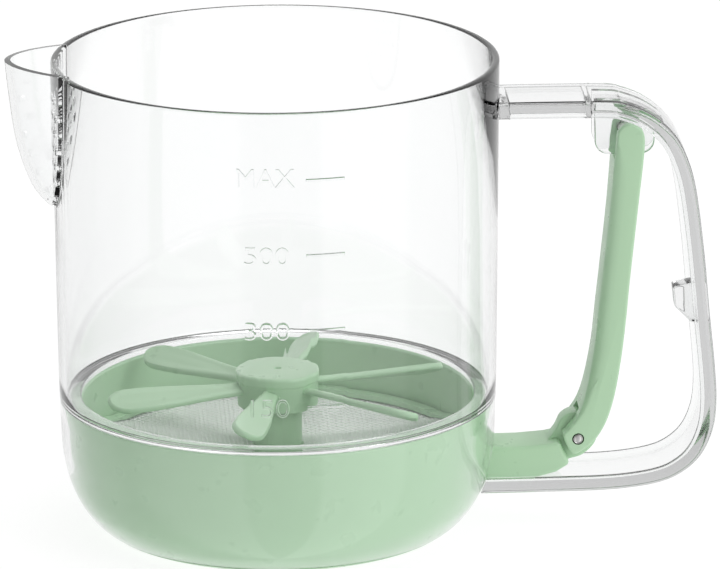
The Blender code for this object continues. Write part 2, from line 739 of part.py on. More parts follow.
# ---------------------------------------------------------------- sieve base


def inner_skin_radius(z):
    """Inside of the base's outer skin, below the mesh seat."""
    height = FOOT_HEIGHT - BOWL_SKIN
    swell = math.sqrt(max(0.0, 1 - ((FOOT_HEIGHT - z) / height) ** 2))
    return min(FOOT_RADIUS + (FOOT_BULGE - BOWL_SKIN) * swell, base_radius(z) - BOWL_SKIN)


def make_bowl(parts, cutters, green):
    step = SKIRT_END_Z - GAP
    lower = [step, 1.1 * MM, 0.5 * MM, 0.15 * MM]
    outer = [(base_radius(z), z) for z in [BOWL_TOP_Z] + FOOT_RINGS]
    outer.append((base_radius(SKIRT_END_Z), step))
    outer += [(body_radius(z), z) for z in lower]
    foot = [(FOOT_RADIUS, 0.0), (BOWL_MOUTH_RADIUS, 0.0), (BOWL_MOUTH_RADIUS, BOWL_SKIN)]
    skin_heights = [2.0 * MM, 2.6 * MM, 4.0 * MM, 6.4 * MM, 9.0 * MM, 12.0 * MM, SEAT_Z]
    skin = [(inner_skin_radius(z), z) for z in skin_heights]
    seat = [(SEAT_RADIUS, SEAT_Z), (SEAT_RADIUS, MESH_Z - GAP), (BOWL_INNER_RADIUS, MESH_Z - GAP)]
    rim = [(BOWL_INNER_RADIUS, BOWL_TOP_Z - 0.5 * MM), (BOWL_INNER_RADIUS + 0.5 * MM, BOWL_TOP_Z)]
    bowl = turned("sieve_bowl", outer + foot + skin + seat + rim, (CUP_X, 0.0, 0.0), parts, green)
    half = ARM_WIDTH / 2 + 2 * GAP
    arm_slot = box("bowl_arm_slot", (28.4 * MM, -half, 11.7 * MM), (36 * MM, half, 21.4 * MM), cutters)
    rod_slot = box(
        "bowl_rod_slot", (20 * MM, -ROD_RADIUS - GAP, 11.7 * MM),
        (31 * MM, ROD_RADIUS + GAP, RACK_Z + ROD_RADIUS + GAP), cutters,
    )
    cut(bowl, arm_slot, rod_slot)
    return bowl


def make_mesh(parts, materials):
    top = MESH_Z + MESH_THICKNESS
    turned(
        "sieve_mesh", ring_profile(POST_RADIUS + 0.5 * MM, MESH_RADIUS, MESH_Z, top), (CUP_X, 0.0, 0.0),
        parts, materials["steel_mesh"],
    )
    turned(
        "mesh_ring", ring_profile(47.0 * MM, MESH_RADIUS, top + GAP, top + 1.8 * MM), (CUP_X, 0.0, 0.0),
        parts, materials["green_plastic"],
    )


def make_crossbar(parts, cutters, screw_holes, green):
    """The bridge under the mesh: an inverted trough with the post that carries the shaft."""
    bar = box(
        "crossbar", (CUP_X - BAR_HALF_LENGTH, -BAR_HALF_WIDTH, BAR_BOTTOM_Z),
        (CUP_X + BAR_HALF_LENGTH, BAR_HALF_WIDTH, BAR_TOP_Z), parts, green,
    )
    end = box(
        "crossbar_end", (CUP_X - BAR_END_LENGTH, -8 * MM, BAR_BOTTOM_Z),
        (CUP_X - BAR_HALF_LENGTH + MM, 8 * MM, SEAT_Z - GAP), cutters,
    )
    post = turned(
        "post", disc_profile(POST_RADIUS, BAR_TOP_Z - MM, POST_TOP_Z),
        (CUP_X, 0.0, 0.0), cutters, closed=False,
        steps=40,
    )
    join(bar, end)
    cut(bar, *screw_holes)
    join(bar, post)
    cavity = box(
        "crossbar_cavity", (BAR_CAVITY[0], -BAR_HALF_WIDTH + BAR_WALL, BAR_BOTTOM_Z - MM),
        (BAR_CAVITY[1], BAR_HALF_WIDTH - BAR_WALL, BAR_TOP_Z - BAR_ROOF), cutters,
    )
    rod_way = box(
        "crossbar_rod_way", (BAR_CAVITY[1] - MM, -ROD_RADIUS - GAP, BAR_BOTTOM_Z - MM),
        (CUP_X + BAR_HALF_LENGTH + MM, ROD_RADIUS + GAP, RACK_Z + ROD_RADIUS + GAP), cutters,
    )
    shaft_way = rod("post_bore", (CUP_X, 0.0, 15 * MM), (CUP_X, 0.0, 35 * MM), SHAFT_RADIUS + GAP, cutters)
    bush_way = rod(
        "post_counterbore", (CUP_X, 0.0, BAR_TOP_Z + 0.1 * MM), (CUP_X, 0.0, 35 * MM), BUSH_RADIUS + GAP,
        cutters, sides=32,
    )
    cut(bar, cavity, rod_way, shaft_way, bush_way)
    return bar


def screw_places():
    """Two screws in each end block of the crossbar."""
    inner_end = BAR_CAVITY[0] - 6.0 * MM
    outer_end = BAR_CAVITY[1] + 1.8 * MM
    return [(inner_end, -7.0 * MM), (inner_end, 7.0 * MM), (outer_end, -8.0 * MM), (outer_end, 8.0 * MM)]


def make_screw_holes(collection):
    bottom = BAR_BOTTOM_Z - GAP - COVER_THICKNESS
    return [
        rod(
            "screw_hole_%d" % i, (x, y, bottom - MM), (x, y, 15 * MM), SCREW_RADIUS + GAP,
            collection, sides=16,
        )
        for i, (x, y) in enumerate(screw_places(), 1)
    ]


def make_cover(parts, cutters, screw_holes, materials):
    """The cover plate under the crossbar and its four screws."""
    top = BAR_BOTTOM_Z - GAP
    bottom = top - COVER_THICKNESS
    cover = box(
        "crossbar_cover", (CUP_X - BAR_HALF_LENGTH, -BAR_HALF_WIDTH, bottom),
        (CUP_X + BAR_HALF_LENGTH, BAR_HALF_WIDTH, top), parts, materials["green_plastic"],
    )
    for side in (-1, 1):
        rib = box(
            "cover_rib_%d" % (side + 1), (BAR_CAVITY[0] + MM, side * 8.8 * MM - 0.8 * MM, top - 0.5 * MM),
            (BAR_CAVITY[1] - MM, side * 8.8 * MM + 0.8 * MM, RACK_Z - RACK_HEIGHT / 2 - GAP), cutters,
        )
        join(cover, rib)
    cut(cover, *screw_holes)
    for i, (x, y) in enumerate(screw_places(), 1):
        screw = rod(
            "cover_screw_%d" % i, (x, y, bottom - 0.6 * MM), (x, y, 14 * MM), SCREW_RADIUS,
            parts, materials["steel"], sides=16,
        )
        head = turned(
            "screw_head_%d" % i, disc_profile(SCREW_HEAD_RADIUS, bottom - GAP - 1.3 * MM, bottom - GAP),
            (x, y, 0.0), cutters, closed=False, steps=20,
        )
        recess = box(
            "screw_recess_%d" % i, (x - 1.3 * MM, y - 0.3 * MM, bottom - 3 * MM),
            (x + 1.3 * MM, y + 0.3 * MM, bottom - MM), cutters,
        )
        join(screw, head)
        cut(screw, recess)


def make_spring(parts, steel, start_x):
    """Compression spring round the rack's rod, between the rack frame and the crossbar's end."""
    end_x = BAR_CAVITY[1] - GAP
    first = start_x + GAP
    wire = SPRING_WIRE / 2
    curve = bpy.data.curves.new("return_spring", "CURVE")
    curve.dimensions = "3D"
    curve.bevel_depth = wire
    curve.bevel_resolution = 2
    curve.use_fill_caps = True
    spline = curve.splines.new("POLY")
    per_turn = 9
    count = SPRING_TURNS * per_turn + 1
    spline.points.add(count - 1)
    for i, point in enumerate(spline.points):
        angle = 2 * math.pi * i / per_turn
        x = first + wire + (end_x - first - 2 * wire) * i / (count - 1)
        point.co = (x, SPRING_RADIUS * math.cos(angle), RACK_Z + SPRING_RADIUS * math.sin(angle), 1.0)
    mesh_of_curve("return_spring", curve, Matrix.Identity(4), (0.0, 0.0, 0.0), parts, steel)


# ---------------------------------------------------------------- impeller


def blade_half_width(share):
    """Narrow at the hub, broad and round at the tip."""
    swell = 2.3 * MM + 2.1 * MM * math.sin(min(share / 0.8, 1.0) * math.pi / 2) ** 2
    round_from = 0.84
    if share <= round_from:
        return swell
    over = (share - round_from) / (1 - round_from)
    return max(swell * math.sqrt(max(0.0, 1 - over * over)), 0.9 * MM)


def make_impeller(parts, cutters, green):
    hub_profile = [
        (0.0, HUB_TOP_Z), (HUB_RADIUS - 0.8 * MM, HUB_TOP_Z), (HUB_RADIUS, HUB_TOP_Z - 0.8 * MM),
        (HUB_RADIUS, HUB_BOTTOM_Z), (0.0, HUB_BOTTOM_Z),
    ]
    impeller = turned("impeller", hub_profile, (CUP_X, 0.0, 0.0), parts, green, closed=False, steps=48)
    stations = [0.0, 0.2, 0.4, 0.6, 0.75, 0.86, 0.93, 0.975, 1.0]
    bm = bmesh.new()
    for blade in range(BLADE_COUNT):
        angle = BLADE_START_ANGLE + blade * 2 * math.pi / BLADE_COUNT
        out = Vector((math.cos(angle), math.sin(angle), 0.0))
        across = Vector((-math.sin(angle), math.cos(angle), 0.0))
        rows = []
        for share in stations:
            radius = BLADE_ROOT_RADIUS + (BLADE_TIP_RADIUS - BLADE_ROOT_RADIUS) * share
            pitch = BLADE_PITCH * (0.7 + 0.3 * share)
            row = []
            for t in (-1.0, 0.0, 1.0):
                side = t * blade_half_width(share)
                point = out * radius + across * side * math.cos(pitch)
                height = BLADE_Z - side * math.sin(pitch) + (1 - abs(t)) * 0.35 * MM
                row.append(bm.verts.new((CUP_X + point.x, point.y, height)))
            rows.append(row)
        for near, far in zip(rows, rows[1:]):
            for i in range(2):
                bm.faces.new((near[i], far[i], far[i + 1], near[i + 1]))
    blades = add_object("blades", mesh_from(bm, "blades"), cutters)
    thick = blades.modifiers.new("thickness", "SOLIDIFY")
    thick.thickness = BLADE_THICKNESS
    thick.offset = 0.0
    join(impeller, blades)
    bore = rod("hub_bore", (CUP_X, 0.0, 30 * MM), (CUP_X, 0.0, 38.6 * MM), SHAFT_RADIUS + GAP, cutters)
    dimple_low = (CUP_X, 0.0, HUB_TOP_Z - 0.5 * MM)
    dimple = rod("hub_dimple", dimple_low, (CUP_X, 0.0, HUB_TOP_Z + MM), 0.9 * MM, cutters, sides=12)
    cut(impeller, bore, dimple)
    return impeller


# ---------------------------------------------------------------- assembly


def main():
    clear_scene()
    parts = make_collection("flour_sifter")
    cutters = make_collection("cutters")
    materials = make_materials()
    clear = materials["clear_plastic"]
    green = materials["green_plastic"]
    make_cup(parts, cutters, clear)
    make_handle(parts, cutters, clear)
    lever = make_lever(parts, cutters, green)
    make_pins(parts, lever, materials["steel"])
    frame_end = make_rack_arm(parts, cutters, green)
    pinion_bottom = make_pinion(parts, cutters, materials["white_plastic"])
    make_shaft_train(parts, cutters, materials, pinion_bottom)
    make_bowl(parts, cutters, green)
    make_mesh(parts, materials)
    screw_holes = make_screw_holes(cutters)
    make_crossbar(parts, cutters, screw_holes, green)
    make_cover(parts, cutters, screw_holes, materials)
    make_spring(parts, materials["steel"], frame_end)
    make_impeller(parts, cutters, green)


main()
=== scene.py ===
"""Looks of the flour sifter: clear jug and handle, green base, lever and impeller, woven steel mesh."""

import math

import bmesh
import bpy
from mathutils import Matrix, Vector


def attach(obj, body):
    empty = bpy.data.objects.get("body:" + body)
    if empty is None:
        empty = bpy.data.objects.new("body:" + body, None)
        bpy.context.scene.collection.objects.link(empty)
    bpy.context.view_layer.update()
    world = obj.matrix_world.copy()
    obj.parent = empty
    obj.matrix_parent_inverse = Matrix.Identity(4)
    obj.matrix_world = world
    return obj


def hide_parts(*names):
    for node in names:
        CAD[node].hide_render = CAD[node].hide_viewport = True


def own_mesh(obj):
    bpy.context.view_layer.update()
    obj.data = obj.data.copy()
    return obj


MM = 0.001
WELD = 0.002
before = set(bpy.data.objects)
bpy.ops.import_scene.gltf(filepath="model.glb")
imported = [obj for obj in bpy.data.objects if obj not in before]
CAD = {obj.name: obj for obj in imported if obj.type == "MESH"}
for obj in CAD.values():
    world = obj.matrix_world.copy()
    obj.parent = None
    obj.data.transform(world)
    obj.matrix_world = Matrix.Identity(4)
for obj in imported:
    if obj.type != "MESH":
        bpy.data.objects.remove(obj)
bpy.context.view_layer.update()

# ---------------------------------------------------------------- sizes shared with the CAD, in millimetres
CUP_X = -21.8
RIM_RADIUS = 57.0
RIM_Z = 123.5
WALL = 1.8
SHOULDER_RADIUS = 56.15
SHOULDER_Z = 40.0
FOOT_RADIUS = 40.0
FOOT_BULGE = 15.7
FOOT_HEIGHT = 26.0
SKIRT_END_Z = 2.0
SKIRT_THIN_Z = 9.0
SKIRT_FULL_Z = 18.0
SKIRT_THIN_WALL = 0.9
GAP = 0.3
LEDGE_Z = 34.8
LEDGE_TOP_Z = 36.2
LEDGE_RADIUS = 50.4
BOWL_TOP_Z = 34.5
BOWL_INNER_RADIUS = 50.3
BOWL_MOUTH_RADIUS = 38.0
BOWL_SKIN = 2.0
SEAT_RADIUS = 46.5
SEAT_Z = 17.5
MESH_SEAT_Z = 19.4
# Heights at which the rounded foot is turned, from its top down
FOOT_RINGS = [23.0, 20.5, 18.0, 16.0, 14.2, 12.6, 11.2, 10.0, 8.8, 7.6, 6.4, 5.3, 4.3, 3.4, 2.6]
ARM_SLOT_HALF_WIDTH = 7.6
ARM_SLOT_LOW_Z = 11.7
ARM_SLOT_HIGH_Z = 21.4
PIVOT = (67.5, 103.0)
PIVOT_HOLE_RADIUS = 1.8
PIVOT_HOLE_REACH = 7.3
FOOT_PIN = (55.0, 23.0)
FOOT_HOLE_RADIUS = 1.55
RACK_Z = 14.6

TURN_STEPS = 160


# ---------------------------------------------------------------- mesh helpers


def body_radius(z):
    """Radius of the outside of the cup, skirt and base at a height."""
    if z < FOOT_HEIGHT:
        return FOOT_RADIUS + FOOT_BULGE * math.sqrt(1 - ((FOOT_HEIGHT - z) / FOOT_HEIGHT) ** 2)
    foot = FOOT_RADIUS + FOOT_BULGE
    if z < SHOULDER_Z:
        return foot + (SHOULDER_RADIUS - foot) * (z - FOOT_HEIGHT) / (SHOULDER_Z - FOOT_HEIGHT)
    return SHOULDER_RADIUS + (RIM_RADIUS - SHOULDER_RADIUS) * (z - SHOULDER_Z) / (RIM_Z - SHOULDER_Z)


def skirt_wall(z):
    """Thickness of the skirt at a height: it thins towards the foot."""
    share = min(1.0, max(0.0, (z - SKIRT_THIN_Z) / (SKIRT_FULL_Z - SKIRT_THIN_Z)))
    return SKIRT_THIN_WALL + (WALL - SKIRT_THIN_WALL) * share


def new_object(name, bm, smooth_angle=30.0):
    """An object from a bmesh in millimetres, smooth except at edges sharper than the angle."""
    bmesh.ops.recalc_face_normals(bm, faces=bm.faces)
    for vert in bm.verts:
        vert.co *= MM
    mesh = bpy.data.meshes.new(name)
    bm.to_mesh(mesh)
    bm.free()
    obj = bpy.data.objects.new(name, mesh)
    bpy.context.scene.collection.objects.link(obj)
    shade(obj, smooth_angle)
    return obj


def shade(obj, smooth_angle):
    """Smooth shading, with edges sharper than the angle, in degrees, left sharp."""
    obj.data.polygons.foreach_set("use_smooth", [True] * len(obj.data.polygons))
    obj.data.set_sharp_from_angle(angle=math.radians(smooth_angle))


def turned_bmesh(profile, steps=TURN_STEPS, centre=(CUP_X, 0.0)):
    """A closed profile of (radius, z) points turned about a vertical axis; radius 0 makes a pole."""
    bm = bmesh.new()
    centre_x, centre_y = centre
    rings = []
    for radius, z in profile:
        if radius < 1e-6:
            rings.append([bm.verts.new((centre_x, centre_y, z))])
            continue
        ring = []
        for i in range(steps):
            a = 2 * math.pi * i / steps
            ring.append(bm.verts.new((centre_x + radius * math.cos(a), centre_y + radius * math.sin(a), z)))
        rings.append(ring)
    for upper, lower in zip(rings, rings[1:] + rings[:1]):
        if len(upper) == 1 and len(lower) == 1:
            continue
        for i in range(steps):
            j = (i + 1) % steps
            if len(upper) == 1:
                bm.faces.new((upper[0], lower[j], lower[i]))
            elif len(lower) == 1:
                bm.faces.new((upper[i], upper[j], lower[0]))
            else:
                bm.faces.new((upper[i], upper[j], lower[j], lower[i]))
    return bm


def rounded(profile, radii, count=4):
    """The closed profile with its corners rounded, by one radius for each point; 0 stays sharp."""
    made = []
    size = len(profile)
    for i, radius in enumerate(radii):
        here = Vector(profile[i])
        if radius <= 0:
            made.append(tuple(here))
            continue
        before = Vector(profile[i - 1]) - here
        after = Vector(profile[(i + 1) % size]) - here
        turn = before.angle(after)
        reach = min(radius / math.tan(turn / 2), before.length * 0.49, after.length * 0.49)
        start = here + before.normalized() * reach
        end = here + after.normalized() * reach
        for k in range(count + 1):
            t = k / count
            made.append(tuple(start * (1 - t) ** 2 + here * 2 * t * (1 - t) + end * t**2))
    return made


def catmull(points, per_span, closed=False):
    """A smooth curve through the points, with the same number of steps between each two."""
    count = len(points)
    spans = count if closed else count - 1
    path = []
    for i in range(spans):
        if closed:
            p = [Vector(points[(i + k - 1) % count]) for k in range(4)]
        else:
            p = [Vector(points[min(max(i + k - 1, 0), count - 1)]) for k in range(4)]
        for j in range(per_span):
            t = j / per_span
            linear = (p[2] - p[0]) * t
            square = (2 * p[0] - 5 * p[1] + 4 * p[2] - p[3]) * t**2
            cubic = (3 * p[1] - p[0] - 3 * p[2] + p[3]) * t**3
            path.append(0.5 * (2 * p[1] + linear + square + cubic))
    if not closed:
        path.append(Vector(points[-1]))
    return path


def bridge(bm, rings):
    """Faces between each ring of points and the next."""
    count = len(rings[0])
    for near, far in zip(rings, rings[1:]):
        for i in range(count):
            j = (i + 1) % count
            bm.faces.new((near[i], near[j], far[j], far[i]))


def plate_bmesh(outline, y_low, y_high):
    """A flat outline of (x, z) points standing upright between two values of y."""
    bm = bmesh.new()
    low = [bm.verts.new((p[0], y_low, p[1])) for p in outline]
    high = [bm.verts.new((p[0], y_high, p[1])) for p in outline]
    bm.faces.new(low)
    bm.faces.new(high[::-1])
    count = len(outline)
    for i in range(count):
        j = (i + 1) % count
        bm.faces.new((low[i], low[j], high[j], high[i]))
    return bm


def box_bmesh(low, high):
    """A box between its lowest and highest corners."""
    bm = bmesh.new()
    size = [h - l for l, h in zip(low, high)]
    middle = [(h + l) / 2 for l, h in zip(low, high)]
    bmesh.ops.create_cube(bm, size=1.0, matrix=Matrix.Translation(middle) @ Matrix.Diagonal((*size, 1.0)))
    return bm


def rod_bmesh(start, end, radius, sides=32, bm=None):
    """A round rod between two points, added to the bmesh if there is one."""
    bm = bm or bmesh.new()
    start = Vector(start)
    end = Vector(end)
    turn = (end - start).to_track_quat("Z", "Y").to_matrix().to_4x4()
    bmesh.ops.create_cone(
        bm, cap_ends=True, segments=sides, radius1=radius, radius2=radius, depth=(end - start).length,
        matrix=Matrix.Translation((start + end) / 2) @ turn,
    )
    return bm


def apply_modifiers(obj):
    bpy.context.view_layer.update()
    graph = bpy.context.evaluated_depsgraph_get()
    made = bpy.data.meshes.new_from_object(obj.evaluated_get(graph))
    obj.modifiers.clear()
    obj.data = made


def bevelled(obj, width, segments=3):
    """The object with its sharp edges rounded for good."""
    bevel = obj.modifiers.new("bevel", "BEVEL")
    bevel.width = width * MM
    bevel.segments = segments
    bevel.limit_method = "ANGLE"
    bevel.angle_limit = math.radians(35.0)
    apply_modifiers(obj)
    shade(obj, 30.0)
    return obj


def boolean(obj, other, operation):
    """Combines two closed meshes, and removes the second."""
    change = obj.modifiers.new("change", "BOOLEAN")
    change.operation = operation
    change.object = other
    change.solver = "EXACT"
    apply_modifiers(obj)
    bpy.data.objects.remove(other, do_unlink=True)


def cut(obj, *others):
    for other in others:
        boolean(obj, other, "DIFFERENCE")


def join(obj, *others):
    for other in others:
        boolean(obj, other, "UNION")


# ---------------------------------------------------------------- materials


class Nodes:
    """A short way to build a material's node tree."""

    def __init__(self, name):
        self.material = bpy.data.materials.new(name)
        self.material.use_nodes = True
        self.tree = self.material.node_tree
        self.shader = self.tree.nodes["Principled BSDF"]
        self.output = self.tree.nodes["Material Output"]

    def node(self, kind, **values):
        """A new node, with values for its settings or for the inputs of the same name."""
        made = self.tree.nodes.new(kind)
        for key, value in values.items():
            if key in made.inputs:
                made.inputs[key].default_value = value
            else:
                setattr(made, key, value)
        return made

    def link(self, source, target):
        self.tree.links.new(source, target)

    def noise(self, scale, detail):
        """Noise fixed to the object, with its scale in waves for each metre."""
        place = self.node("ShaderNodeTexCoord")
        made = self.node("ShaderNodeTexNoise", Scale=scale, Detail=detail)
        self.link(place.outputs["Object"], made.inputs["Vector"])
        return made.outputs["Fac"]

    def span(self, value, low, high):
        """Noise mapped from its usual range to low to high."""
        made = self.node("ShaderNodeMapRange")
        made.inputs["From Min"].default_value = 0.3
        made.inputs["From Max"].default_value = 0.7
        made.inputs["To Min"].default_value = low
        made.inputs["To Max"].default_value = high
        self.link(value, made.inputs["Value"])
        return made.outputs["Result"]

    def blend(self, factor, one, two):
        """A colour between two, by a factor that varies over the surface."""
        made = self.node("ShaderNodeMix", data_type="RGBA")
        for socket in made.inputs:
            if socket.name == "A" and socket.type == "RGBA":
                socket.default_value = (*one, 1.0)
            if socket.name == "B" and socket.type == "RGBA":
                socket.default_value = (*two, 1.0)
        self.link(factor, made.inputs["Factor"])
        return [s for s in made.outputs if s.type == "RGBA"][0]

    def bump(self, height, strength, distance):
        """Raises the surface by the height, with the distance in metres."""
        made = self.node("ShaderNodeBump", Strength=strength, Distance=distance)
        self.link(height, made.inputs["Height"])
        self.link(made.outputs["Normal"], self.shader.inputs["Normal"])


def clear_plastic(name, smoke_per_metre):
    """Clear moulded plastic: glass-like, with faint flow waves, and open to light from lamps."""
    m = Nodes(name)
    m.shader.inputs["Base Color"].default_value = (0.99, 0.995, 0.995, 1.0)
    m.shader.inputs["Transmission Weight"].default_value = 1.0
    m.shader.inputs["IOR"].default_value = 1.5
    m.link(m.span(m.noise(60.0, 3.0), 0.0, 0.03), m.shader.inputs["Roughness"])
    m.bump(m.noise(38.0, 1.0), 0.05, 0.0004)
    ray = m.node("ShaderNodeLightPath")
    open_to_light = m.node("ShaderNodeBsdfTransparent")
    open_to_light.inputs["Color"].default_value = (0.96, 0.97, 0.97, 1.0)
    either = m.node("ShaderNodeMath", operation="MAXIMUM")
    m.link(ray.outputs["Is Shadow Ray"], either.inputs[0])
    m.link(ray.outputs["Is Diffuse Ray"], either.inputs[1])
    mix = m.node("ShaderNodeMixShader")
    m.link(either.outputs[0], mix.inputs["Fac"])
    m.link(m.shader.outputs[0], mix.inputs[1])
    m.link(open_to_light.outputs[0], mix.inputs[2])
    m.link(mix.outputs[0], m.output.inputs["Surface"])
    smoke = m.node("ShaderNodeVolumeAbsorption")
    smoke.inputs["Color"].default_value = (0.0, 0.0, 0.0, 1.0)
    smoke.inputs["Density"].default_value = smoke_per_metre
    m.link(smoke.outputs[0], m.output.inputs["Volume"])
    return m.material


def green_plastic(name, light, dark):
    """Pale mint moulded plastic with a satin skin and a fine orange-peel grain."""
    m = Nodes(name)
    m.link(m.blend(m.noise(22.0, 4.0), dark, light), m.shader.inputs["Base Color"])
    m.link(m.span(m.noise(140.0, 3.0), 0.26, 0.36), m.shader.inputs["Roughness"])
    m.shader.inputs["IOR"].default_value = 1.5
    m.bump(m.noise(900.0, 2.0), 0.06, 0.0002)
    return m.material


def metal(name, light, dark, roughness, metallic=1.0):
    """Worn metal, mottled in colour and gloss, with fine pits."""
    m = Nodes(name)
    m.shader.inputs["Metallic"].default_value = metallic
    m.link(m.blend(m.noise(160.0, 4.0), dark, light), m.shader.inputs["Base Color"])
    m.link(m.span(m.noise(368.0, 3.0), *roughness), m.shader.inputs["Roughness"])
    m.bump(m.noise(800.0, 2.0), 0.08, 0.0001)
    return m.material


def matte_plastic(name, light, dark):
    """Dry bearing plastic with a fine grain."""
    m = Nodes(name)
    m.link(m.blend(m.noise(60.0, 4.0), dark, light), m.shader.inputs["Base Color"])
    m.link(m.span(m.noise(200.0, 2.0), 0.4, 0.55), m.shader.inputs["Roughness"])
    m.bump(m.noise(700.0, 2.0), 0.08, 0.0002)
    return m.material


# Long paths inside the clear plastic darken, which gives its edges their grey lines.
CLEAR = clear_plastic("clear_wall", 7.0)
CLEAR_HANDLE = clear_plastic("clear_handle", 22.0)
GREEN = green_plastic("green_plastic", (0.475, 0.69, 0.465), (0.45, 0.665, 0.44))
STEEL = metal("steel", (0.74, 0.74, 0.72), (0.62, 0.62, 0.61), (0.22, 0.38))
# The thin bright wires count as part metal, so that they scatter the light like a fine gauze.
MESH_WIRE = metal("mesh_wire", (0.95, 0.95, 0.95), (0.86, 0.86, 0.86), (0.4, 0.55), metallic=0.4)
BRONZE = metal("bronze", (0.70, 0.52, 0.30), (0.56, 0.40, 0.22), (0.35, 0.55))
WHITE = matte_plastic("white_plastic", (0.86, 0.87, 0.84), (0.80, 0.81, 0.79))


def settle(obj, body, slot, material, *replaced):
    """Gives a finished piece its material and its body, and hides the CAD nodes it stands for; its slot is
    not used.
    """
    obj.data.materials.clear()
    obj.data.materials.append(material)
    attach(obj, body)
    if replaced:
        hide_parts(*replaced)


def finish_cad(node, material):
    """A CAD node that stays gets its material and slightly rounded edges."""
    obj = CAD[node]
    obj.data.materials.clear()
    obj.data.materials.append(material)
    weld = obj.modifiers.new("weld", "WELD")
    weld.merge_threshold = 0.02 * MM
    bevel = obj.modifiers.new("bevel", "BEVEL")
    bevel.width = 0.15 * MM
    bevel.segments = 2
    bevel.limit_method = "ANGLE"
    bevel.angle_limit = math.radians(40.0)


# ---------------------------------------------------------------- camera, floor and light

# In metres; the camera's azimuth is measured from the front, towards +X
TARGET = Vector((-0.0005, 0.0, 0.06315))
CAMERA_DISTANCE = 1.9
CAMERA_AZIMUTH = math.radians(-3.0)
CAMERA_ELEVATION = math.radians(15.9)
CAMERA_ROLL = math.radians(0.3)
LENS = 371.0
FLOOR_SIZE = 6000.0
FLOOR_DROP = 0.2


def make_camera():
    data = bpy.data.cameras.new("camera")
    data.lens = LENS
    data.sensor_width = 36.0
    data.clip_start = 0.05
    data.clip_end = 50.0
    camera = bpy.data.objects.new("camera", data)
    bpy.context.scene.collection.objects.link(camera)
    flat = math.cos(CAMERA_ELEVATION)
    back = Vector((
        math.sin(CAMERA_AZIMUTH) * flat, -math.cos(CAMERA_AZIMUTH) * flat, math.sin(CAMERA_ELEVATION),
    ))
    camera.location = TARGET + back * CAMERA_DISTANCE
    look = (-back).to_track_quat("-Z", "Y").to_matrix().to_4x4()
    camera.rotation_euler = (look @ Matrix.Rotation(-CAMERA_ROLL, 4, "Z")).to_euler()
    bpy.context.scene.camera = camera


def area_light(name, place, aim, size, power):
    """A square soft light, in metres and watts, aimed at a point."""
    data = bpy.data.lights.new(name, "AREA")
    data.energy = power
    data.shape = "SQUARE"
    data.size = size
    light = bpy.data.objects.new(name, data)
    bpy.context.scene.collection.objects.link(light)
    light.location = place
    light.rotation_euler = (Vector(aim) - Vector(place)).to_track_quat("-Z", "Y").to_euler()


def make_floor():
    """A pale floor that glows, so that it stays white round the object, just below its foot."""
    bm = bmesh.new()
    bmesh.ops.create_grid(bm, x_segments=1, y_segments=1, size=FLOOR_SIZE)
    floor = new_object("floor", bm)
    floor.location = (0.0, 0.0, -FLOOR_DROP * MM)
    m = Nodes("floor")
    colour = m.blend(m.noise(3.0, 2.0), (0.20, 0.20, 0.20), (0.22, 0.22, 0.22))
    m.link(colour, m.shader.inputs["Base Color"])
    m.shader.inputs["Roughness"].default_value = 0.9
    m.shader.inputs["Specular IOR Level"].default_value = 0.0
    m.shader.inputs["Emission Color"].default_value = (1.0, 1.0, 1.0, 1.0)
    m.shader.inputs["Emission Strength"].default_value = 0.87
    floor.data.materials.append(m.material)
    # Walls that stand upright reflect the studio instead, which gives the jug its bands of light.
    floor.visible_glossy = False


# Brightness of the studio by its bearing from the front, in degrees: below the horizon, which upright walls
# reflect, and above it, which lights the object.
LOW_STUDIO = [
    (-180, 0.97), (-150, 0.75), (-120, 0.15), (-90, 0.15), (-66, 0.90), (-22, 1.20), (-19, 0.62),
    (19, 0.62), (22, 1.35), (67, 1.35), (71, 0.80), (110, 0.55), (150, 0.85), (180, 0.97),
]
HIGH_STUDIO = [
    (-180, 1.0), (-130, 0.9), (-95, 0.55), (-60, 0.15), (-20, 0.35), (15, 0.65), (40, 1.2), (80, 1.2),
    (130, 1.0), (180, 1.0),
]
ZENITH_LEVEL = 0.25
# Where the low studio turns into the high one, and that into the zenith, by the height of a unit direction
HORIZON = (-0.08, 0.12)
ZENITH = (0.55, 0.75)


def bearing_ramp(tree, bearing, stops):
    ramp = tree.nodes.new("ShaderNodeValToRGB")
    points = ramp.color_ramp.elements
    for k, (angle, level) in enumerate(stops):
        place = angle / 360 + 0.5
        if k == 0:
            points[0].position = place
            point = points[0]
        elif k == len(stops) - 1:
            points[-1].position = place
            point = points[-1]
        else:
            point = points.new(place)
        point.color = (level, level, level, 1.0)
    tree.links.new(bearing, ramp.inputs["Fac"])
    return ramp.outputs["Color"]


def math_node(tree, operation, first, second=None, third=None):
    """A math node; its first input is linked, and the others are numbers or links."""
    made = tree.nodes.new("ShaderNodeMath")
    made.operation = operation
    for socket, value in zip(made.inputs, (first, second, third)):
        if isinstance(value, float):
            socket.default_value = value
        elif value is not None:
            tree.links.new(value, socket)
    return made.outputs[0]


def mixed_by_height(tree, height, limits, low, high):
    """One colour below the limits and another above, with a smooth change between."""
    share = tree.nodes.new("ShaderNodeMapRange")
    share.inputs["From Min"].default_value, share.inputs["From Max"].default_value = limits
    tree.links.new(height, share.inputs["Value"])
    mix = tree.nodes.new("ShaderNodeMixRGB")
    tree.links.new(share.outputs["Result"], mix.inputs["Fac"])
    tree.links.new(low, mix.inputs["Color1"])
    if isinstance(high, float):
        mix.inputs["Color2"].default_value = (high, high, high, 1.0)
    else:
        tree.links.new(high, mix.inputs["Color2"])
    return mix.outputs["Color"]


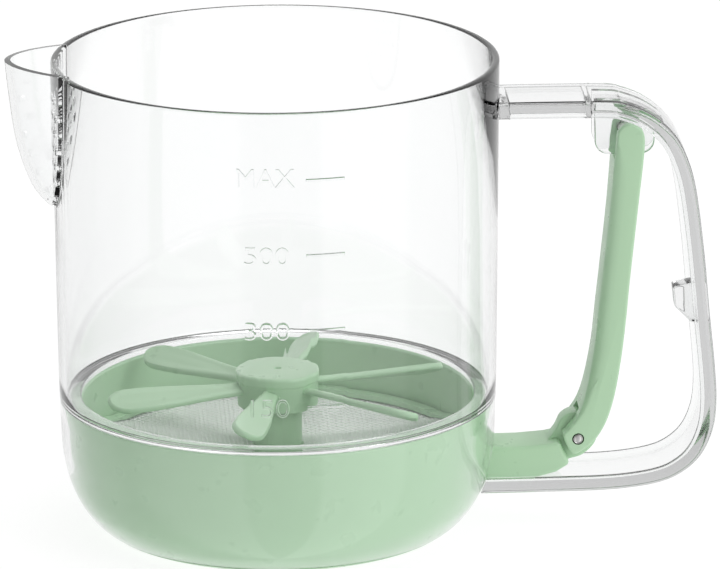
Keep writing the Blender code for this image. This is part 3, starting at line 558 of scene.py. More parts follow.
def make_world():
    """A studio with two wide soft boxes in front, darker sides, and more light from the upper right."""
    world = bpy.data.worlds.new("studio")
    bpy.context.scene.world = world
    world.use_nodes = True
    tree = world.node_tree
    background = tree.nodes["Background"]
    place = tree.nodes.new("ShaderNodeTexCoord")
    parts = tree.nodes.new("ShaderNodeSeparateXYZ")
    tree.links.new(place.outputs["Generated"], parts.inputs[0])
    front = math_node(tree, "MULTIPLY", parts.outputs["Y"], -1.0)
    angle = math_node(tree, "ARCTAN2", parts.outputs["X"], front)
    bearing = math_node(tree, "MULTIPLY_ADD", angle, 1 / (2 * math.pi), 0.5)
    low = bearing_ramp(tree, bearing, LOW_STUDIO)
    high = bearing_ramp(tree, bearing, HIGH_STUDIO)
    walls = mixed_by_height(tree, parts.outputs["Z"], HORIZON, low, high)
    whole = mixed_by_height(tree, parts.outputs["Z"], ZENITH, walls, ZENITH_LEVEL)
    tree.links.new(whole, background.inputs["Color"])


def make_lights():
    area_light("key", (1.0, -0.8, 0.9), (0.0, 0.0, 0.06), 0.7, 4.6)
    area_light("top", (0.2, 0.1, 1.3), (0.0, 0.0, 0.0), 0.9, 5.0)


make_camera()
make_floor()
make_world()
make_lights()
bpy.context.scene.view_settings.view_transform = "Standard"


# ---------------------------------------------------------------- jug

# How far the spout's outside stands out from the jug, at each height
SPOUT_PROFILE = [
    (85.6, 0.3), (86.7, 1.8), (89.0, 3.9), (91.8, 5.6), (98.0, 7.9), (104.0, 9.4), (112.0, 10.5),
    (124.0, 11.65),
]
SPOUT_WALL = 1.5
SPOUT_TIP_Z = 124.0
SPOUT_HALF_ANGLE = math.radians(18.0)
SPOUT_ROOT_DEPTH = 0.9
SPOUT_NOSE_SOFTNESS = 0.16
SPOUT_COLUMNS = 41
SPOUT_ROWS = 26
STRAINER_ROWS = 7
STRAINER_TOP_Z = 115.4
STRAINER_PITCH = 4.2
STRAINER_HOLE_RADIUS = 1.0
STRAINER_HOLE_REACH = 1.6
STRAINER_MARGIN = 4.5


def spout_reach(z):
    """How far the spout stands out at a height, on a smooth curve."""
    for i, ((low, near), (high, far)) in enumerate(zip(SPOUT_PROFILE, SPOUT_PROFILE[1:])):
        if z <= high:
            before = SPOUT_PROFILE[max(i - 1, 0)]
            after = SPOUT_PROFILE[min(i + 2, len(SPOUT_PROFILE) - 1)]
            span = high - low
            t = max(0.0, (z - low) / span)
            slope_low = (far - before[1]) / (high - before[0]) * span
            slope_high = (after[1] - near) / (after[0] - low) * span
            return (
                near * (2 * t**3 - 3 * t**2 + 1) + slope_low * (t**3 - 2 * t**2 + t)
                + far * (3 * t**2 - 2 * t**3) + slope_high * (t**3 - t**2)
            )
    return SPOUT_PROFILE[-1][1]


def spout_half_angle(z):
    """Half the angle that the spout takes up on the jug: it narrows to a point at its foot."""
    return SPOUT_HALF_ANGLE * math.sqrt(max(spout_reach(z), 0.0) / SPOUT_PROFILE[-1][1])


def make_spout():
    """A curved sheet with a soft nose, thickened inward; its edges run into the jug's wall."""
    soft = SPOUT_NOSE_SOFTNESS
    full = math.sqrt(1 + soft**2) - soft
    low = SPOUT_PROFILE[0][0]
    bm = bmesh.new()
    rows = []
    for k in range(SPOUT_ROWS):
        z = low + (RIM_Z - low) * (k / (SPOUT_ROWS - 1)) ** 1.6
        row = []
        for i in range(SPOUT_COLUMNS):
            t = 2 * i / (SPOUT_COLUMNS - 1) - 1
            share = (math.sqrt(t * t + soft**2) - soft) / full
            stand = 0.5 * (1 - share) + 0.5 * math.cos(math.pi * share / 2)
            radius = body_radius(z) - SPOUT_ROOT_DEPTH + (spout_reach(z) + SPOUT_ROOT_DEPTH) * stand
            angle = math.pi + spout_half_angle(z) * t * 1.04
            lift = (SPOUT_TIP_Z - RIM_Z) * math.cos(t * math.pi / 2) if k == SPOUT_ROWS - 1 else 0.0
            row.append(bm.verts.new((CUP_X + radius * math.cos(angle), radius * math.sin(angle), z + lift)))
        rows.append(row)
    for lower, upper in zip(rows, rows[1:]):
        for i in range(SPOUT_COLUMNS - 1):
            bm.faces.new((lower[i], upper[i], upper[i + 1], lower[i + 1]))
    bmesh.ops.recalc_face_normals(bm, faces=bm.faces)
    if sum(f.normal.x for f in bm.faces) > 0:
        bmesh.ops.reverse_faces(bm, faces=bm.faces)
    for vert in bm.verts:
        vert.co *= MM
    mesh = bpy.data.meshes.new("spout")
    bm.to_mesh(mesh)
    bm.free()
    spout = bpy.data.objects.new("spout", mesh)
    bpy.context.scene.collection.objects.link(spout)
    wall = spout.modifiers.new("wall", "SOLIDIFY")
    wall.thickness = SPOUT_WALL * MM
    wall.offset = -1.0
    apply_modifiers(spout)
    return spout


def make_strainer_holes():
    """Rods where the jug's wall behind the spout is pierced, in staggered rows."""
    bm = bmesh.new()
    wall_radius = RIM_RADIUS - WALL / 2
    for row in range(STRAINER_ROWS):
        z = STRAINER_TOP_Z - row * STRAINER_PITCH
        reach = spout_half_angle(z) * wall_radius - STRAINER_MARGIN
        stagger = 0.5 * (row % 2)
        half = int(reach / STRAINER_PITCH + stagger) + 1
        for k in range(-half, half + 1):
            side = (k + stagger) * STRAINER_PITCH
            if abs(side) > reach:
                continue
            angle = math.pi + side / wall_radius
            aim = Vector((math.cos(angle), math.sin(angle), 0.0))
            centre = Vector((CUP_X, 0.0, z)) + aim * wall_radius
            start = centre - aim * STRAINER_HOLE_REACH
            rod_bmesh(start, centre + aim * STRAINER_HOLE_REACH, STRAINER_HOLE_RADIUS, 20, bm)
    return new_object("strainer_holes", bm)


# The marks stand proud of the wall by their rise, and are sunk in it by their depth.
MARK_RISE = 0.35
MARK_DEPTH = 0.5
MARK_ROUND = 0.18
MARK_HEIGHT = 4.7
TICK_START = 5.1
TICK_END = 14.9
TICK_THICK = 0.7
TICK_STEPS = 8
# What each mark of the scale says, the height of its lettering and of its line, and where along the wall
# the lettering starts and ends.
SCALE = [
    ("MAX", 107.0, 106.3, -12.2, 2.3), ("500", 86.9, 86.9, -10.5, 0.8),
    ("300", 67.5, 67.5, -10.5, 0.8), ("150", 47.4, 47.5, -9.2, 0.6),
]


def wrap_on_wall(obj, z_middle):
    """Bends a flat piece, x along the wall and z outward from it, round the front of the jug."""
    for vert in obj.data.vertices:
        along, up, out = vert.co / MM
        z = z_middle + up
        radius = body_radius(z) + out
        turn = along / RIM_RADIUS
        vert.co = Vector((CUP_X + radius * math.sin(turn), -radius * math.cos(turn), z)) * MM


def make_lettering(words, z_middle, start, end):
    """Raised block figures, fitted between two places along the wall."""
    curve = bpy.data.curves.new("lettering", "FONT")
    curve.body = words
    curve.size = 8.0 * MM
    curve.bevel_depth = MARK_ROUND * MM
    curve.bevel_resolution = 2
    curve.extrude = ((MARK_RISE + MARK_DEPTH) / 2 - MARK_ROUND) * MM
    curve.offset = -MARK_ROUND * MM
    curve.resolution_u = 4
    flat = bpy.data.objects.new("lettering", curve)
    bpy.context.scene.collection.objects.link(flat)
    bpy.context.view_layer.update()
    mesh = bpy.data.meshes.new_from_object(flat.evaluated_get(bpy.context.evaluated_depsgraph_get()))
    bpy.data.objects.remove(flat, do_unlink=True)
    bm = bmesh.new()
    bm.from_mesh(mesh)
    bmesh.ops.remove_doubles(bm, verts=bm.verts, dist=WELD * MM)
    bmesh.ops.recalc_face_normals(bm, faces=bm.faces)
    low_x = min(v.co.x for v in bm.verts)
    high_x = max(v.co.x for v in bm.verts)
    low_y = min(v.co.y for v in bm.verts)
    high_y = max(v.co.y for v in bm.verts)
    for vert in bm.verts:
        vert.co.x = (start + (vert.co.x - low_x) / (high_x - low_x) * (end - start)) * MM
        vert.co.y = ((vert.co.y - low_y) / (high_y - low_y) - 0.5) * MARK_HEIGHT * MM
        vert.co.z += (MARK_RISE - MARK_DEPTH) / 2 * MM
    bm.to_mesh(mesh)
    bm.free()
    letters = bpy.data.objects.new("lettering", mesh)
    bpy.context.scene.collection.objects.link(letters)
    wrap_on_wall(letters, z_middle)
    return letters


def make_tick(z_middle):
    """A raised line with sloped edges beside the lettering."""
    half = TICK_THICK / 2
    section = [
        (-half, -MARK_DEPTH), (half, -MARK_DEPTH), (half, MARK_RISE * 0.6),
        (half / 2, MARK_RISE), (-half / 2, MARK_RISE), (-half, MARK_RISE * 0.6),
    ]
    bm = bmesh.new()
    rings = []
    for k in range(TICK_STEPS + 1):
        along = TICK_START + (TICK_END - TICK_START) * k / TICK_STEPS
        rings.append([bm.verts.new((along, up, out)) for up, out in section])
    bridge(bm, rings)
    bm.faces.new(rings[0][::-1])
    bm.faces.new(rings[-1])
    tick = new_object("tick", bm)
    wrap_on_wall(tick, z_middle)
    return tick


def make_jug():
    """Wall, skirt, inner ledge, spout, strainer, arm slot and scale, as one moulding."""
    skirt_heights = [30.0, 26.0] + FOOT_RINGS + [SKIRT_END_Z]
    outer = [(body_radius(z), z) for z in [100.0, 70.0, SHOULDER_Z] + skirt_heights]
    inner = [(body_radius(z) - skirt_wall(z), z) for z in skirt_heights[::-1]]
    corners = [
        (RIM_RADIUS - WALL, RIM_Z), (RIM_RADIUS, RIM_Z), *outer, *inner,
        (body_radius(LEDGE_Z) - WALL, LEDGE_Z), (LEDGE_RADIUS, LEDGE_Z), (LEDGE_RADIUS, LEDGE_TOP_Z),
        (body_radius(LEDGE_TOP_Z) - WALL, LEDGE_TOP_Z), (SHOULDER_RADIUS - WALL, SHOULDER_Z),
        (body_radius(80.0) - WALL, 80.0),
    ]
    radii = [0.7, 0.7] + [0.0] * (len(outer) + len(inner)) + [0.3, 0.4, 0.4, 0.5, 0.0, 0.0]
    jug = new_object("jug_shell", turned_bmesh(rounded(corners, radii)))
    join(jug, make_spout())
    slot_low = (28.0, -ARM_SLOT_HALF_WIDTH, ARM_SLOT_LOW_Z)
    slot = new_object("slot", box_bmesh(slot_low, (40.0, ARM_SLOT_HALF_WIDTH, ARM_SLOT_HIGH_Z)))
    cut(jug, make_strainer_holes(), slot)
    for words, words_z, line_z, start, end in SCALE:
        join(jug, make_lettering(words, words_z, start, end), make_tick(line_z))
    shade(jug, 32.0)
    settle(jug, "jug", "clear_plastic", CLEAR, "cup")


make_jug()


# ---------------------------------------------------------------- handle

HANDLE_WIDTH = 22.0
HANDLE_DEPTH = 4.2
HANDLE_FLOOR = 3.0
HANDLE_SIDE = 1.9
# The outside of the handle as (x, z) points, from the rim round to the foot
HANDLE_OUTER = [
    (30.0, 113.0), (60.0, 112.9), (67.3, 111.9), (73.8, 108.9), (79.2, 103.9), (82.6, 97.5),
    (84.9, 89.0), (87.0, 73.0), (88.6, 56.0), (90.0, 42.0), (90.45, 33.0), (89.6, 25.6), (86.8, 19.0),
    (82.2, 14.4), (75.8, 11.5), (65.0, 9.9), (50.0, 9.5), (26.0, 9.4),
]
EAR_TOP = [(74.6, 107.2), (73.0, 108.4), (70.0, 110.0), (66.0, 111.4), (59.0, 111.9)]
EAR_FRONT_X = 59.2
EAR_BACK_X = 74.5
EAR_BOTTOM_Z = 97.9
EAR_CORNER = 3.5
EAR_INNER_Y = 3.8
EAR_OUTER_Y = 5.7
# Where the top of the channel is filled, at the jug and by a rib in front of the ears
CHANNEL_BLOCKS = [(28.0, 37.4), (56.6, 58.2)]
CHANNEL_BLOCK_LOW_Z = 109.0
CHANNEL_BLOCK_HIGH_Z = 111.5
CHANNEL_BLOCK_HALF_WIDTH = 9.4
HOOK_HALF_WIDTH = 3.0
HOOK = [(79.6, 61.6), (80.1, 56.4), (84.6, 52.0), (88.0, 52.0), (88.0, 63.0), (84.0, 62.6)]


def channel_section():
    """The handle's cross-section as (depth, y) points: an open channel with rounded outer corners."""
    half = HANDLE_WIDTH / 2
    lip = half - HANDLE_SIDE
    corners = [
        (0.0, -half), (0.0, half), (HANDLE_DEPTH, half), (HANDLE_DEPTH, lip), (HANDLE_FLOOR, lip),
        (HANDLE_FLOOR, -lip), (HANDLE_DEPTH, -lip), (HANDLE_DEPTH, -half),
    ]
    return rounded(corners, [1.9, 1.9, 0.6, 0.6, 0.5, 0.5, 0.6, 0.6], 5)


def ear_outline():
    """A pivot ear as (x, z) points: two rounded lower corners, and a top hidden in the handle."""
    corners = []
    for middle_x, start in ((EAR_FRONT_X + EAR_CORNER, 1.0), (EAR_BACK_X - EAR_CORNER, 1.5)):
        for k in range(13):
            a = math.pi * (start + 0.5 * k / 12)
            corners.append((
                middle_x + EAR_CORNER * math.cos(a), EAR_BOTTOM_Z + EAR_CORNER * (1 + math.sin(a)),
            ))
    return corners + EAR_TOP


def make_handle():
    """A channel swept along the handle's outside, with ears, ribs and a hook, fitted to the jug."""
    path = catmull(HANDLE_OUTER, 7)
    section = channel_section()
    bm = bmesh.new()
    rings = []
    for i, point in enumerate(path):
        along = (path[min(i + 1, len(path) - 1)] - path[max(i - 1, 0)]).normalized()
        inward = Vector((along.y, -along.x))
        rings.append([
            bm.verts.new((point.x + inward.x * depth, y, point.y + inward.y * depth))
            for depth, y in section
        ])
    bridge(bm, rings)
    bm.faces.new(rings[0])
    bm.faces.new(rings[-1][::-1])
    handle = new_object("handle_shell", bm)
    for low, high in ((-EAR_OUTER_Y, -EAR_INNER_Y), (EAR_INNER_Y, EAR_OUTER_Y)):
        join(handle, bevelled(new_object("ear", plate_bmesh(ear_outline(), low, high)), 0.5))
    for low_x, high_x in CHANNEL_BLOCKS:
        block = box_bmesh(
            (low_x, -CHANNEL_BLOCK_HALF_WIDTH, CHANNEL_BLOCK_LOW_Z),
            (high_x, CHANNEL_BLOCK_HALF_WIDTH, CHANNEL_BLOCK_HIGH_Z),
        )
        join(handle, bevelled(new_object("block", block), 0.5))
    join(handle, bevelled(new_object("hook", plate_bmesh(HOOK, -HOOK_HALF_WIDTH, HOOK_HALF_WIDTH)), 0.6))
    heights = [SHOULDER_Z, FOOT_HEIGHT] + FOOT_RINGS
    above_rim = RIM_Z + 1.5
    clearance = [(0.0, above_rim), (RIM_RADIUS + GAP, above_rim)]
    clearance += [(body_radius(z) + GAP, z) for z in heights] + [(0.0, heights[-1])]
    space = new_object("space", turned_bmesh(clearance))
    through = HANDLE_WIDTH
    hole = rod_bmesh((PIVOT[0], -through, PIVOT[1]), (PIVOT[0], through, PIVOT[1]), PIVOT_HOLE_RADIUS)
    cut(handle, space, new_object("hole", hole))
    shade(handle, 32.0)
    settle(handle, "jug", "clear_plastic", CLEAR_HANDLE, "handle")


make_handle()


# ---------------------------------------------------------------- lever

LEVER_HALF_WIDTH = 8.0
LEVER_OUTLINE = [
    (64.6, 101.5), (65.2, 104.6), (67.4, 106.2), (69.9, 105.6), (71.6, 103.6), (71.7, 98.4), (70.3, 85.0),
    (68.2, 65.0), (67.4, 56.0), (66.3, 46.0), (64.9, 37.0), (63.5, 31.0), (61.8, 26.4), (59.4, 22.6),
    (56.9, 20.3), (53.6, 19.0), (51.2, 23.6), (52.2, 25.2), (54.4, 28.0), (56.0, 31.2), (57.5, 36.6),
    (59.2, 46.2), (60.3, 57.0), (61.3, 66.0), (63.2, 84.0),
]
LEVER_SIDE = 1.9
LEVER_FACE = 2.6
POCKET = (33.0, 102.0)
LEVER_FACE_TOP_Z = 96.6
FORK_HALF_WIDTH = 3.5
# The bevel of the lever's edges: full between these heights at the front, slight elsewhere
LEVER_BEVEL = 3.3
SLIGHT_BEVEL = 0.2
BEVEL_STARTS_Z = 27.0
BEVEL_FULL_FROM_Z = 41.0
BEVEL_FULL_TO_Z = 94.0
BEVEL_ENDS_Z = 98.0


def share_between(value, start, end):
    return min(1.0, max(0.0, (value - start) / (end - start)))


def make_lever():
    """A plate with broadly rounded front edges, a pocket in its back and a fork at its foot."""
    outline = [tuple(p) for p in catmull(LEVER_OUTLINE, 4, closed=True)]
    bm = plate_bmesh(outline, -LEVER_HALF_WIDTH, LEVER_HALF_WIDTH)
    bmesh.ops.recalc_face_normals(bm, faces=bm.faces)
    bm.normal_update()
    weight = bm.edges.layers.float.new("bevel_weight_edge")
    for edge in bm.edges:
        a, b = (v.co for v in edge.verts)
        if abs(a.y - b.y) > 1.0:
            continue
        middle = (a + b) / 2
        faces_front = any(f.normal.x < -0.5 and abs(f.normal.y) < 0.5 for f in edge.link_faces)
        rise = share_between(middle.z, BEVEL_STARTS_Z, BEVEL_FULL_FROM_Z) if faces_front else 0.0
        fall = share_between(middle.z, BEVEL_ENDS_Z, BEVEL_FULL_TO_Z)
        edge[weight] = SLIGHT_BEVEL + (1 - SLIGHT_BEVEL) * rise * fall
    lever = new_object("lever_grip", bm)
    bevel = lever.modifiers.new("bevel", "BEVEL")
    bevel.width = LEVER_BEVEL * MM
    bevel.segments = 6
    bevel.limit_method = "WEIGHT"
    bevel.use_clamp_overlap = False
    apply_modifiers(lever)
    low, high = POCKET
    back_edge = [p for p in LEVER_OUTLINE[15:] + LEVER_OUTLINE[:1] if low <= p[1] <= high]
    pocket = [(x + LEVER_FACE, z) for x, z in back_edge] + [(x + 12.0, z) for x, z in back_edge[::-1]]
    wide = LEVER_HALF_WIDTH - LEVER_SIDE
    hollow = new_object("hollow", plate_bmesh(pocket, -wide, wide))
    fork = new_object("fork", box_bmesh((45.0, -FORK_HALF_WIDTH, 15.0), (62.0, FORK_HALF_WIDTH, 30.0)))
    ear_space = new_object("ear_space", box_bmesh((60.0, -wide, LEVER_FACE_TOP_Z), (76.0, wide, 108.0)))
    through = LEVER_HALF_WIDTH + 1.0
    holes = [
        new_object("hole", rod_bmesh((x, -reach, z), (x, reach, z), radius))
        for (x, z), radius, reach in (
            (PIVOT, PIVOT_HOLE_RADIUS, PIVOT_HOLE_REACH), (FOOT_PIN, FOOT_HOLE_RADIUS, through),
        )
    ]
    cut(lever, hollow, fork, ear_space, *holes)
    shade(lever, 28.0)
    settle(lever, "lever", "green_plastic", GREEN, "lever")


make_lever()


# ---------------------------------------------------------------- sieve base

ROD_SLOT_HALF_WIDTH = 1.9
ROD_SLOT_HIGH_Z = 16.5


def base_radius(z):
    """Radius of the green base: within the jug's skirt, and full below it."""
    if z < SKIRT_END_Z - GAP / 2:
        return body_radius(z)
    return body_radius(z) - skirt_wall(z) - GAP


def inner_skin_radius(z):
    """Radius of the inside of the base, one skin in from its outside."""
    height = FOOT_HEIGHT - BOWL_SKIN
    bulge = (FOOT_BULGE - BOWL_SKIN) * math.sqrt(max(0.0, 1 - ((FOOT_HEIGHT - z) / height) ** 2))
    return min(FOOT_RADIUS + bulge, base_radius(z) - BOWL_SKIN)


def make_bowl():
    """The green ring: outer face, foot, inner skin, seat of the mesh, and the slots of the arm."""
    step = SKIRT_END_Z - GAP
    lower = [step, 1.2, 0.8, 0.4, 0.15]
    outer = [(base_radius(z), z) for z in [BOWL_TOP_Z, 28.0, FOOT_HEIGHT] + FOOT_RINGS]
    outer.append((base_radius(SKIRT_END_Z), step))
    outer += [(body_radius(z), z) for z in lower]
    foot = [(FOOT_RADIUS + 0.4, 0.0), (BOWL_MOUTH_RADIUS, 0.0), (BOWL_MOUTH_RADIUS, BOWL_SKIN)]
    skin = [(inner_skin_radius(z), z) for z in (2.0, 2.3, 3.0, 4.0, 5.2, 6.8, 9.0, 12.0, SEAT_Z)]
    seat = [(SEAT_RADIUS, SEAT_Z), (SEAT_RADIUS, MESH_SEAT_Z), (BOWL_INNER_RADIUS, MESH_SEAT_Z)]
    corners = outer + foot + skin + seat + [(BOWL_INNER_RADIUS, BOWL_TOP_Z)]
    radii = [0.0] * len(corners)
    radii[0] = 0.5
    radii[-1] = 0.7
    for k in range(len(outer), len(outer) + 3):
        radii[k] = 0.5
    bowl = new_object("base_bowl", turned_bmesh(rounded(corners, radii)))
    arm_low = (28.4, -ARM_SLOT_HALF_WIDTH, ARM_SLOT_LOW_Z)
    arm_slot = new_object("slot", box_bmesh(arm_low, (36.0, ARM_SLOT_HALF_WIDTH, ARM_SLOT_HIGH_Z)))
    rod_low = (20.0, -ROD_SLOT_HALF_WIDTH, ARM_SLOT_LOW_Z)
    rod_slot = new_object("slot", box_bmesh(rod_low, (31.0, ROD_SLOT_HALF_WIDTH, ROD_SLOT_HIGH_Z)))
    cut(bowl, arm_slot, rod_slot)
    shade(bowl, 30.0)
    settle(bowl, "jug", "green_plastic", GREEN, "sieve_bowl")


make_bowl()


# ---------------------------------------------------------------- woven mesh

WIRE_PITCH = 1.15
WIRE_RADIUS = 0.16
WEAVE_Z = 19.9
WEAVE_HEIGHT = 0.11
WEAVE_RADIUS = 49.9
SHORTEST_WIRE = 3.0
POST_CLEARANCE = 6.7


def add_wire(bm, start, end, along_x, line, phase):
    """One wire of the weave, wavy between the wires that it crosses, with four sides."""
    count = max(2, int(round((end - start) / (WIRE_PITCH / 2))))
    previous = None
    first = None
    for k in range(count + 1):
        at = start + (end - start) * k / count
        wave = WEAVE_HEIGHT * math.cos(math.pi * (at / WIRE_PITCH + phase))
        ring = []
        for side, rise in ((1, 0), (0, 1), (-1, 0), (0, -1)):
            across = line + side * WIRE_RADIUS
            z = WEAVE_Z + wave + rise * WIRE_RADIUS
            x, y = (at, across) if along_x else (across, at)
            ring.append(bm.verts.new((CUP_X + x, y, z)))
        if previous:
            for i in range(4):
                j = (i + 1) % 4
                bm.faces.new((previous[i], previous[j], ring[j], ring[i]))
        else:
            first = ring
        previous = ring
    bm.faces.new(first[::-1])
    bm.faces.new(previous)


def make_weave():
    """Wires both ways, over and under each other, with a round opening for the post."""
    bm = bmesh.new()
    lines = int(WEAVE_RADIUS / WIRE_PITCH)
    for along_x in (True, False):
        for k in range(-lines, lines + 1):
            line = k * WIRE_PITCH
            reach = math.sqrt(WEAVE_RADIUS**2 - line**2)
            if 2 * reach < SHORTEST_WIRE:
                continue
            phase = k if along_x else k + 1
            if abs(line) < POST_CLEARANCE:
                near = math.sqrt(POST_CLEARANCE**2 - line**2)
                add_wire(bm, -reach, -near, along_x, line, phase)
                add_wire(bm, near, reach, along_x, line, phase)
            else:
                add_wire(bm, -reach, reach, along_x, line, phase)
    weave = new_object("wire_mesh", bm, 80.0)
    settle(weave, "jug", "steel_mesh", MESH_WIRE, "sieve_mesh")


make_weave()


# ---------------------------------------------------------------- impeller

HUB_RADIUS = 10.85
HUB_TOP_Z = 41.3
HUB_BOTTOM_Z = 32.0
BLADE_COUNT = 6
BLADE_TIP_RADIUS = 45.5
BLADE_ROOT_RADIUS = 9.0
BLADE_Z = 36.8
BLADE_PITCH = math.radians(26.0)
BLADE_ROOT_TWIST = 0.7
BLADE_THICKNESS = 1.1
BLADE_BEAD = 0.95
BLADE_CROWN = 0.35
BLADE_START_ANGLE = math.radians(17.0)
# Half the blade's width at its root and where it is widest, and the shares of its length at which it
# reaches that width and at which its tip starts to round
BLADE_ROOT_HALF_WIDTH = 2.3
BLADE_FULL_HALF_WIDTH = 4.4
BLADE_FULL_FROM = 0.8
BLADE_TIP_FROM = 0.84
BLADE_END_HALF_WIDTH = 0.25
BLADE_STEPS = 12


def blade_half_width(share):
    more = BLADE_FULL_HALF_WIDTH - BLADE_ROOT_HALF_WIDTH
    swell = BLADE_ROOT_HALF_WIDTH + more * math.sin(min(share / BLADE_FULL_FROM, 1.0) * math.pi / 2) ** 2
    if share <= BLADE_TIP_FROM:
        return swell
    over = (share - BLADE_TIP_FROM) / (1 - BLADE_TIP_FROM)
    return max(swell * math.sqrt(max(0.0, 1 - over * over)), BLADE_END_HALF_WIDTH)


def blade_section(wide, thickness, bead):
    """Points (side, rise) round a blade: a thin middle between two beaded edges."""
    upper = []
    for k in range(BLADE_STEPS + 1):
        t = math.cos(math.pi * k / BLADE_STEPS)
        edge = max(0.0, 1 - ((1 - abs(t)) * wide / (2 * bead)) ** 2) if wide > bead else 1.0
        rise = thickness / 2 + (bead - thickness / 2) * edge
        inset = max(0.0, (abs(t) * wide - (wide - bead)) / bead) if wide > bead else abs(t)
        rise *= math.sqrt(max(0.0, 1 - inset**2))
        upper.append((t * wide, rise))
    return upper + [(side, -rise) for side, rise in upper[-2:0:-1]]


def add_blade(bm, angle):
    """A twisted petal whose edge is a rounded bead."""
    out = Vector((math.cos(angle), math.sin(angle), 0.0))
    across = Vector((-math.sin(angle), math.cos(angle), 0.0))
    up = Vector((0.0, 0.0, 1.0))
    shares = [k / BLADE_STEPS * BLADE_TIP_FROM for k in range(BLADE_STEPS)]
    for k in range(BLADE_STEPS):
        shares.append(BLADE_TIP_FROM + (1 - BLADE_TIP_FROM) * math.sin(k / (BLADE_STEPS - 1) * math.pi / 2))
    rings = []
    for share in shares:
        radius = BLADE_ROOT_RADIUS + (BLADE_TIP_RADIUS - BLADE_ROOT_RADIUS) * share
        pitch = BLADE_PITCH * (BLADE_ROOT_TWIST + (1 - BLADE_ROOT_TWIST) * share)
        wide = blade_half_width(share)
        past = max(0.0, (radius - (BLADE_TIP_RADIUS - BLADE_BEAD)) / BLADE_BEAD)
        bead = BLADE_BEAD * math.sqrt(max(0.02, 1 - past**2))
        near_tip = max(0.0, 1 - (BLADE_TIP_RADIUS - radius) / (2 * BLADE_BEAD))
        thickness = min(2 * bead, BLADE_THICKNESS + (2 * BLADE_BEAD - BLADE_THICKNESS) * near_tip)
        ring = []
        for side, rise in blade_section(wide, thickness, min(bead, wide)):
            rise += (1 - (side / wide) ** 2) * BLADE_CROWN
            point = out * radius
            point += across * (side * math.cos(pitch) + rise * math.sin(pitch))
            point += up * (BLADE_Z - side * math.sin(pitch) + rise * math.cos(pitch))
            ring.append(bm.verts.new((CUP_X + point.x, point.y, point.z)))
        rings.append(ring)
    bridge(bm, rings)
    bm.faces.new(rings[0][::-1])
    bm.faces.new(rings[-1])


def make_impeller():
    """A hub with a flanged top and a dimple, hollow below, and its petals."""
    profile = [
        (0.0, HUB_TOP_Z - 0.5), (0.55, HUB_TOP_Z - 0.5), (0.95, HUB_TOP_Z), (HUB_RADIUS, HUB_TOP_Z),
        (HUB_RADIUS, HUB_TOP_Z - 2.2), (HUB_RADIUS - 0.35, HUB_TOP_Z - 2.8),
        (HUB_RADIUS - 0.5, HUB_BOTTOM_Z), (HUB_RADIUS - 2.1, HUB_BOTTOM_Z),
        (HUB_RADIUS - 2.1, 38.4), (4.2, 38.4), (4.2, HUB_BOTTOM_Z),
        (2.8, HUB_BOTTOM_Z), (2.8, 38.6), (0.0, 38.6),
    ]
    radii = [0.0, 0.2, 0.2, 0.9, 0.3, 0.3, 0.4, 0.3, 0.3, 0.3, 0.3, 0.2, 0.0, 0.0]
    hub = new_object("sifter_blades", turned_bmesh(rounded(profile, radii), 96))
    for blade in range(BLADE_COUNT):
        bm = bmesh.new()
        add_blade(bm, BLADE_START_ANGLE + blade * 2 * math.pi / BLADE_COUNT)
        join(hub, new_object("blade", bm))
    shade(hub, 40.0)
    settle(hub, "impeller", "green_plastic", GREEN, "impeller")


make_impeller()


# ---------------------------------------------------------------- arm and rack

ARM_OUTLINE = [
    (31.0, 12.2), (44.0, 12.4), (49.4, 13.8), (53.0, 16.0), (50.4, 22.0), (47.0, 21.3), (40.0, 20.8),
    (31.0, 20.7),
]
TONGUE_OUTLINE = [
    (46.0, 15.0), (54.0, 16.4), (57.0, 17.6), (59.6, 20.3), (60.4, 23.6), (58.9, 26.6), (56.0, 28.4),
    (53.4, 28.5), (51.0, 27.0), (49.5, 24.0), (46.0, 19.0),
]
ARM_HALF_WIDTH = 7.0
TONGUE_HALF_WIDTH = 3.0
EYE_REACH = 5.0
PIN_DROP = 1.0
ARM_ROOT_X = 31.5


def copy_of_cad(node, name):
    """A welded copy of a CAD node's mesh, in metres, to build on."""
    bm = bmesh.new()
    bm.from_mesh(CAD[node].data)
    bmesh.ops.remove_doubles(bm, verts=bm.verts, dist=WELD * MM)
    mesh = bpy.data.meshes.new(name)
    bm.to_mesh(mesh)
    bm.free()
    obj = bpy.data.objects.new(name, mesh)
    bpy.context.scene.collection.objects.link(obj)
    return obj


def make_arm():
    """The rounded arm and its tongue, on the rod and toothed frame of the CAD."""
    rack = copy_of_cad("rack_arm", "slide_arm")
    cut(rack, new_object("outer_part", box_bmesh((ARM_ROOT_X, -20.0, 0.0), (80.0, 20.0, 40.0))))
    arm = new_object("arm", plate_bmesh(ARM_OUTLINE, -ARM_HALF_WIDTH, ARM_HALF_WIDTH))
    bevelled(arm, 1.0, 5)
    tongue_path = [tuple(p) for p in catmull(TONGUE_OUTLINE, 4, closed=True)]
    tongue = new_object("tongue", plate_bmesh(tongue_path, -TONGUE_HALF_WIDTH, TONGUE_HALF_WIDTH))
    bevelled(tongue, 0.5)
    pin_x, pin_z = FOOT_PIN
    radius = FOOT_HOLE_RADIUS
    eye = [
        new_object("eye", rod_bmesh((pin_x, -EYE_REACH, z), (pin_x, EYE_REACH, z), radius))
        for z in (pin_z, pin_z - PIN_DROP)
    ]
    middle_low = (pin_x - radius, -EYE_REACH, pin_z - PIN_DROP)
    middle = box_bmesh(middle_low, (pin_x + radius, EYE_REACH, pin_z))
    join(rack, arm, tongue)
    cut(rack, *eye, new_object("eye", middle))
    shade(rack, 30.0)
    settle(rack, "rack", "green_plastic", GREEN, "rack_arm")


make_arm()


FOOT_PIN_RADIUS = 1.25
FOOT_PIN_HALF_LENGTH = 8.2


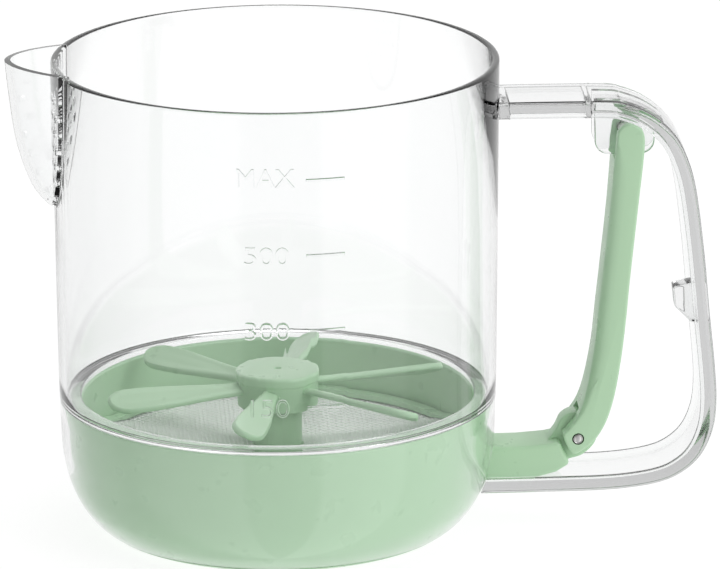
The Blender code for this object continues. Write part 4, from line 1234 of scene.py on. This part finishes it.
def make_foot_pin():
    """A pin with a domed, ringed end on each side."""
    end = FOOT_PIN_HALF_LENGTH
    half = [
        (0.0, end), (0.5, end - 0.02), (0.85, end - 0.14), (0.92, end - 0.34), (1.08, end - 0.3),
        (1.22, end - 0.12), (FOOT_PIN_RADIUS, end - 0.4), (FOOT_PIN_RADIUS, 0.0),
    ]
    bm = turned_bmesh(half + [(r, -y) for r, y in half[::-1][1:]], 48, (0.0, 0.0))
    bmesh.ops.rotate(bm, verts=bm.verts, matrix=Matrix.Rotation(math.pi / 2, 3, "X"))
    bmesh.ops.translate(bm, verts=bm.verts, vec=(FOOT_PIN[0], 0.0, FOOT_PIN[1]))
    settle(new_object("foot_pin", bm, 50.0), "lever", "steel", STEEL, "lever_foot_pin")


make_foot_pin()


# ---------------------------------------------------------------- return spring

SPRING_FIXED_X = 18.7
SPRING_FREE_X = -10.7
SPRING_RADIUS = 2.35
SPRING_WIRE_RADIUS = 0.3
SPRING_TURNS = 10
SPRING_STEPS = 20
SPRING_SIDES = 8


def make_spring():
    """A coil round the rack's rod, built at one length; the real one shortens towards its fixed end as the
    lever swings.
    """
    count = SPRING_TURNS * SPRING_STEPS + 1
    first = SPRING_FREE_X + SPRING_WIRE_RADIUS
    last = SPRING_FIXED_X - SPRING_WIRE_RADIUS
    centres = []
    for i in range(count):
        a = 2 * math.pi * i / SPRING_STEPS
        x = first + (last - first) * i / (count - 1)
        centres.append(Vector((x, SPRING_RADIUS * math.cos(a), RACK_Z + SPRING_RADIUS * math.sin(a))))
    bm = bmesh.new()
    rings = []
    for i, centre in enumerate(centres):
        along = (centres[min(i + 1, count - 1)] - centres[max(i - 1, 0)]).normalized()
        outward = Vector((0.0, centre.y, centre.z - RACK_Z)).normalized()
        aside = along.cross(outward).normalized()
        ring = []
        for k in range(SPRING_SIDES):
            b = 2 * math.pi * k / SPRING_SIDES
            around = outward * SPRING_WIRE_RADIUS * math.cos(b) + aside * SPRING_WIRE_RADIUS * math.sin(b)
            ring.append(bm.verts.new(centre + around))
        rings.append(ring)
    bridge(bm, rings)
    bm.faces.new(rings[0][::-1])
    bm.faces.new(rings[-1])
    spring = new_object("coil_spring", bm, 50.0)
    settle(spring, "jug", "steel", STEEL, "return_spring")
    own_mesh(spring)


make_spring()


# ---------------------------------------------------------------- CAD nodes that stay

for node_name in ("mesh_ring", "crossbar", "crossbar_cover"):
    finish_cad(node_name, GREEN)
for node_name in ("lever_pivot_pin", "impeller_shaft", "shaft_clip"):
    finish_cad(node_name, STEEL)
for number in range(1, 5):
    finish_cad("cover_screw_%d" % number, STEEL)
for node_name in ("pinion", "thrust_washer"):
    finish_cad(node_name, WHITE)
finish_cad("shaft_bush", BRONZE)
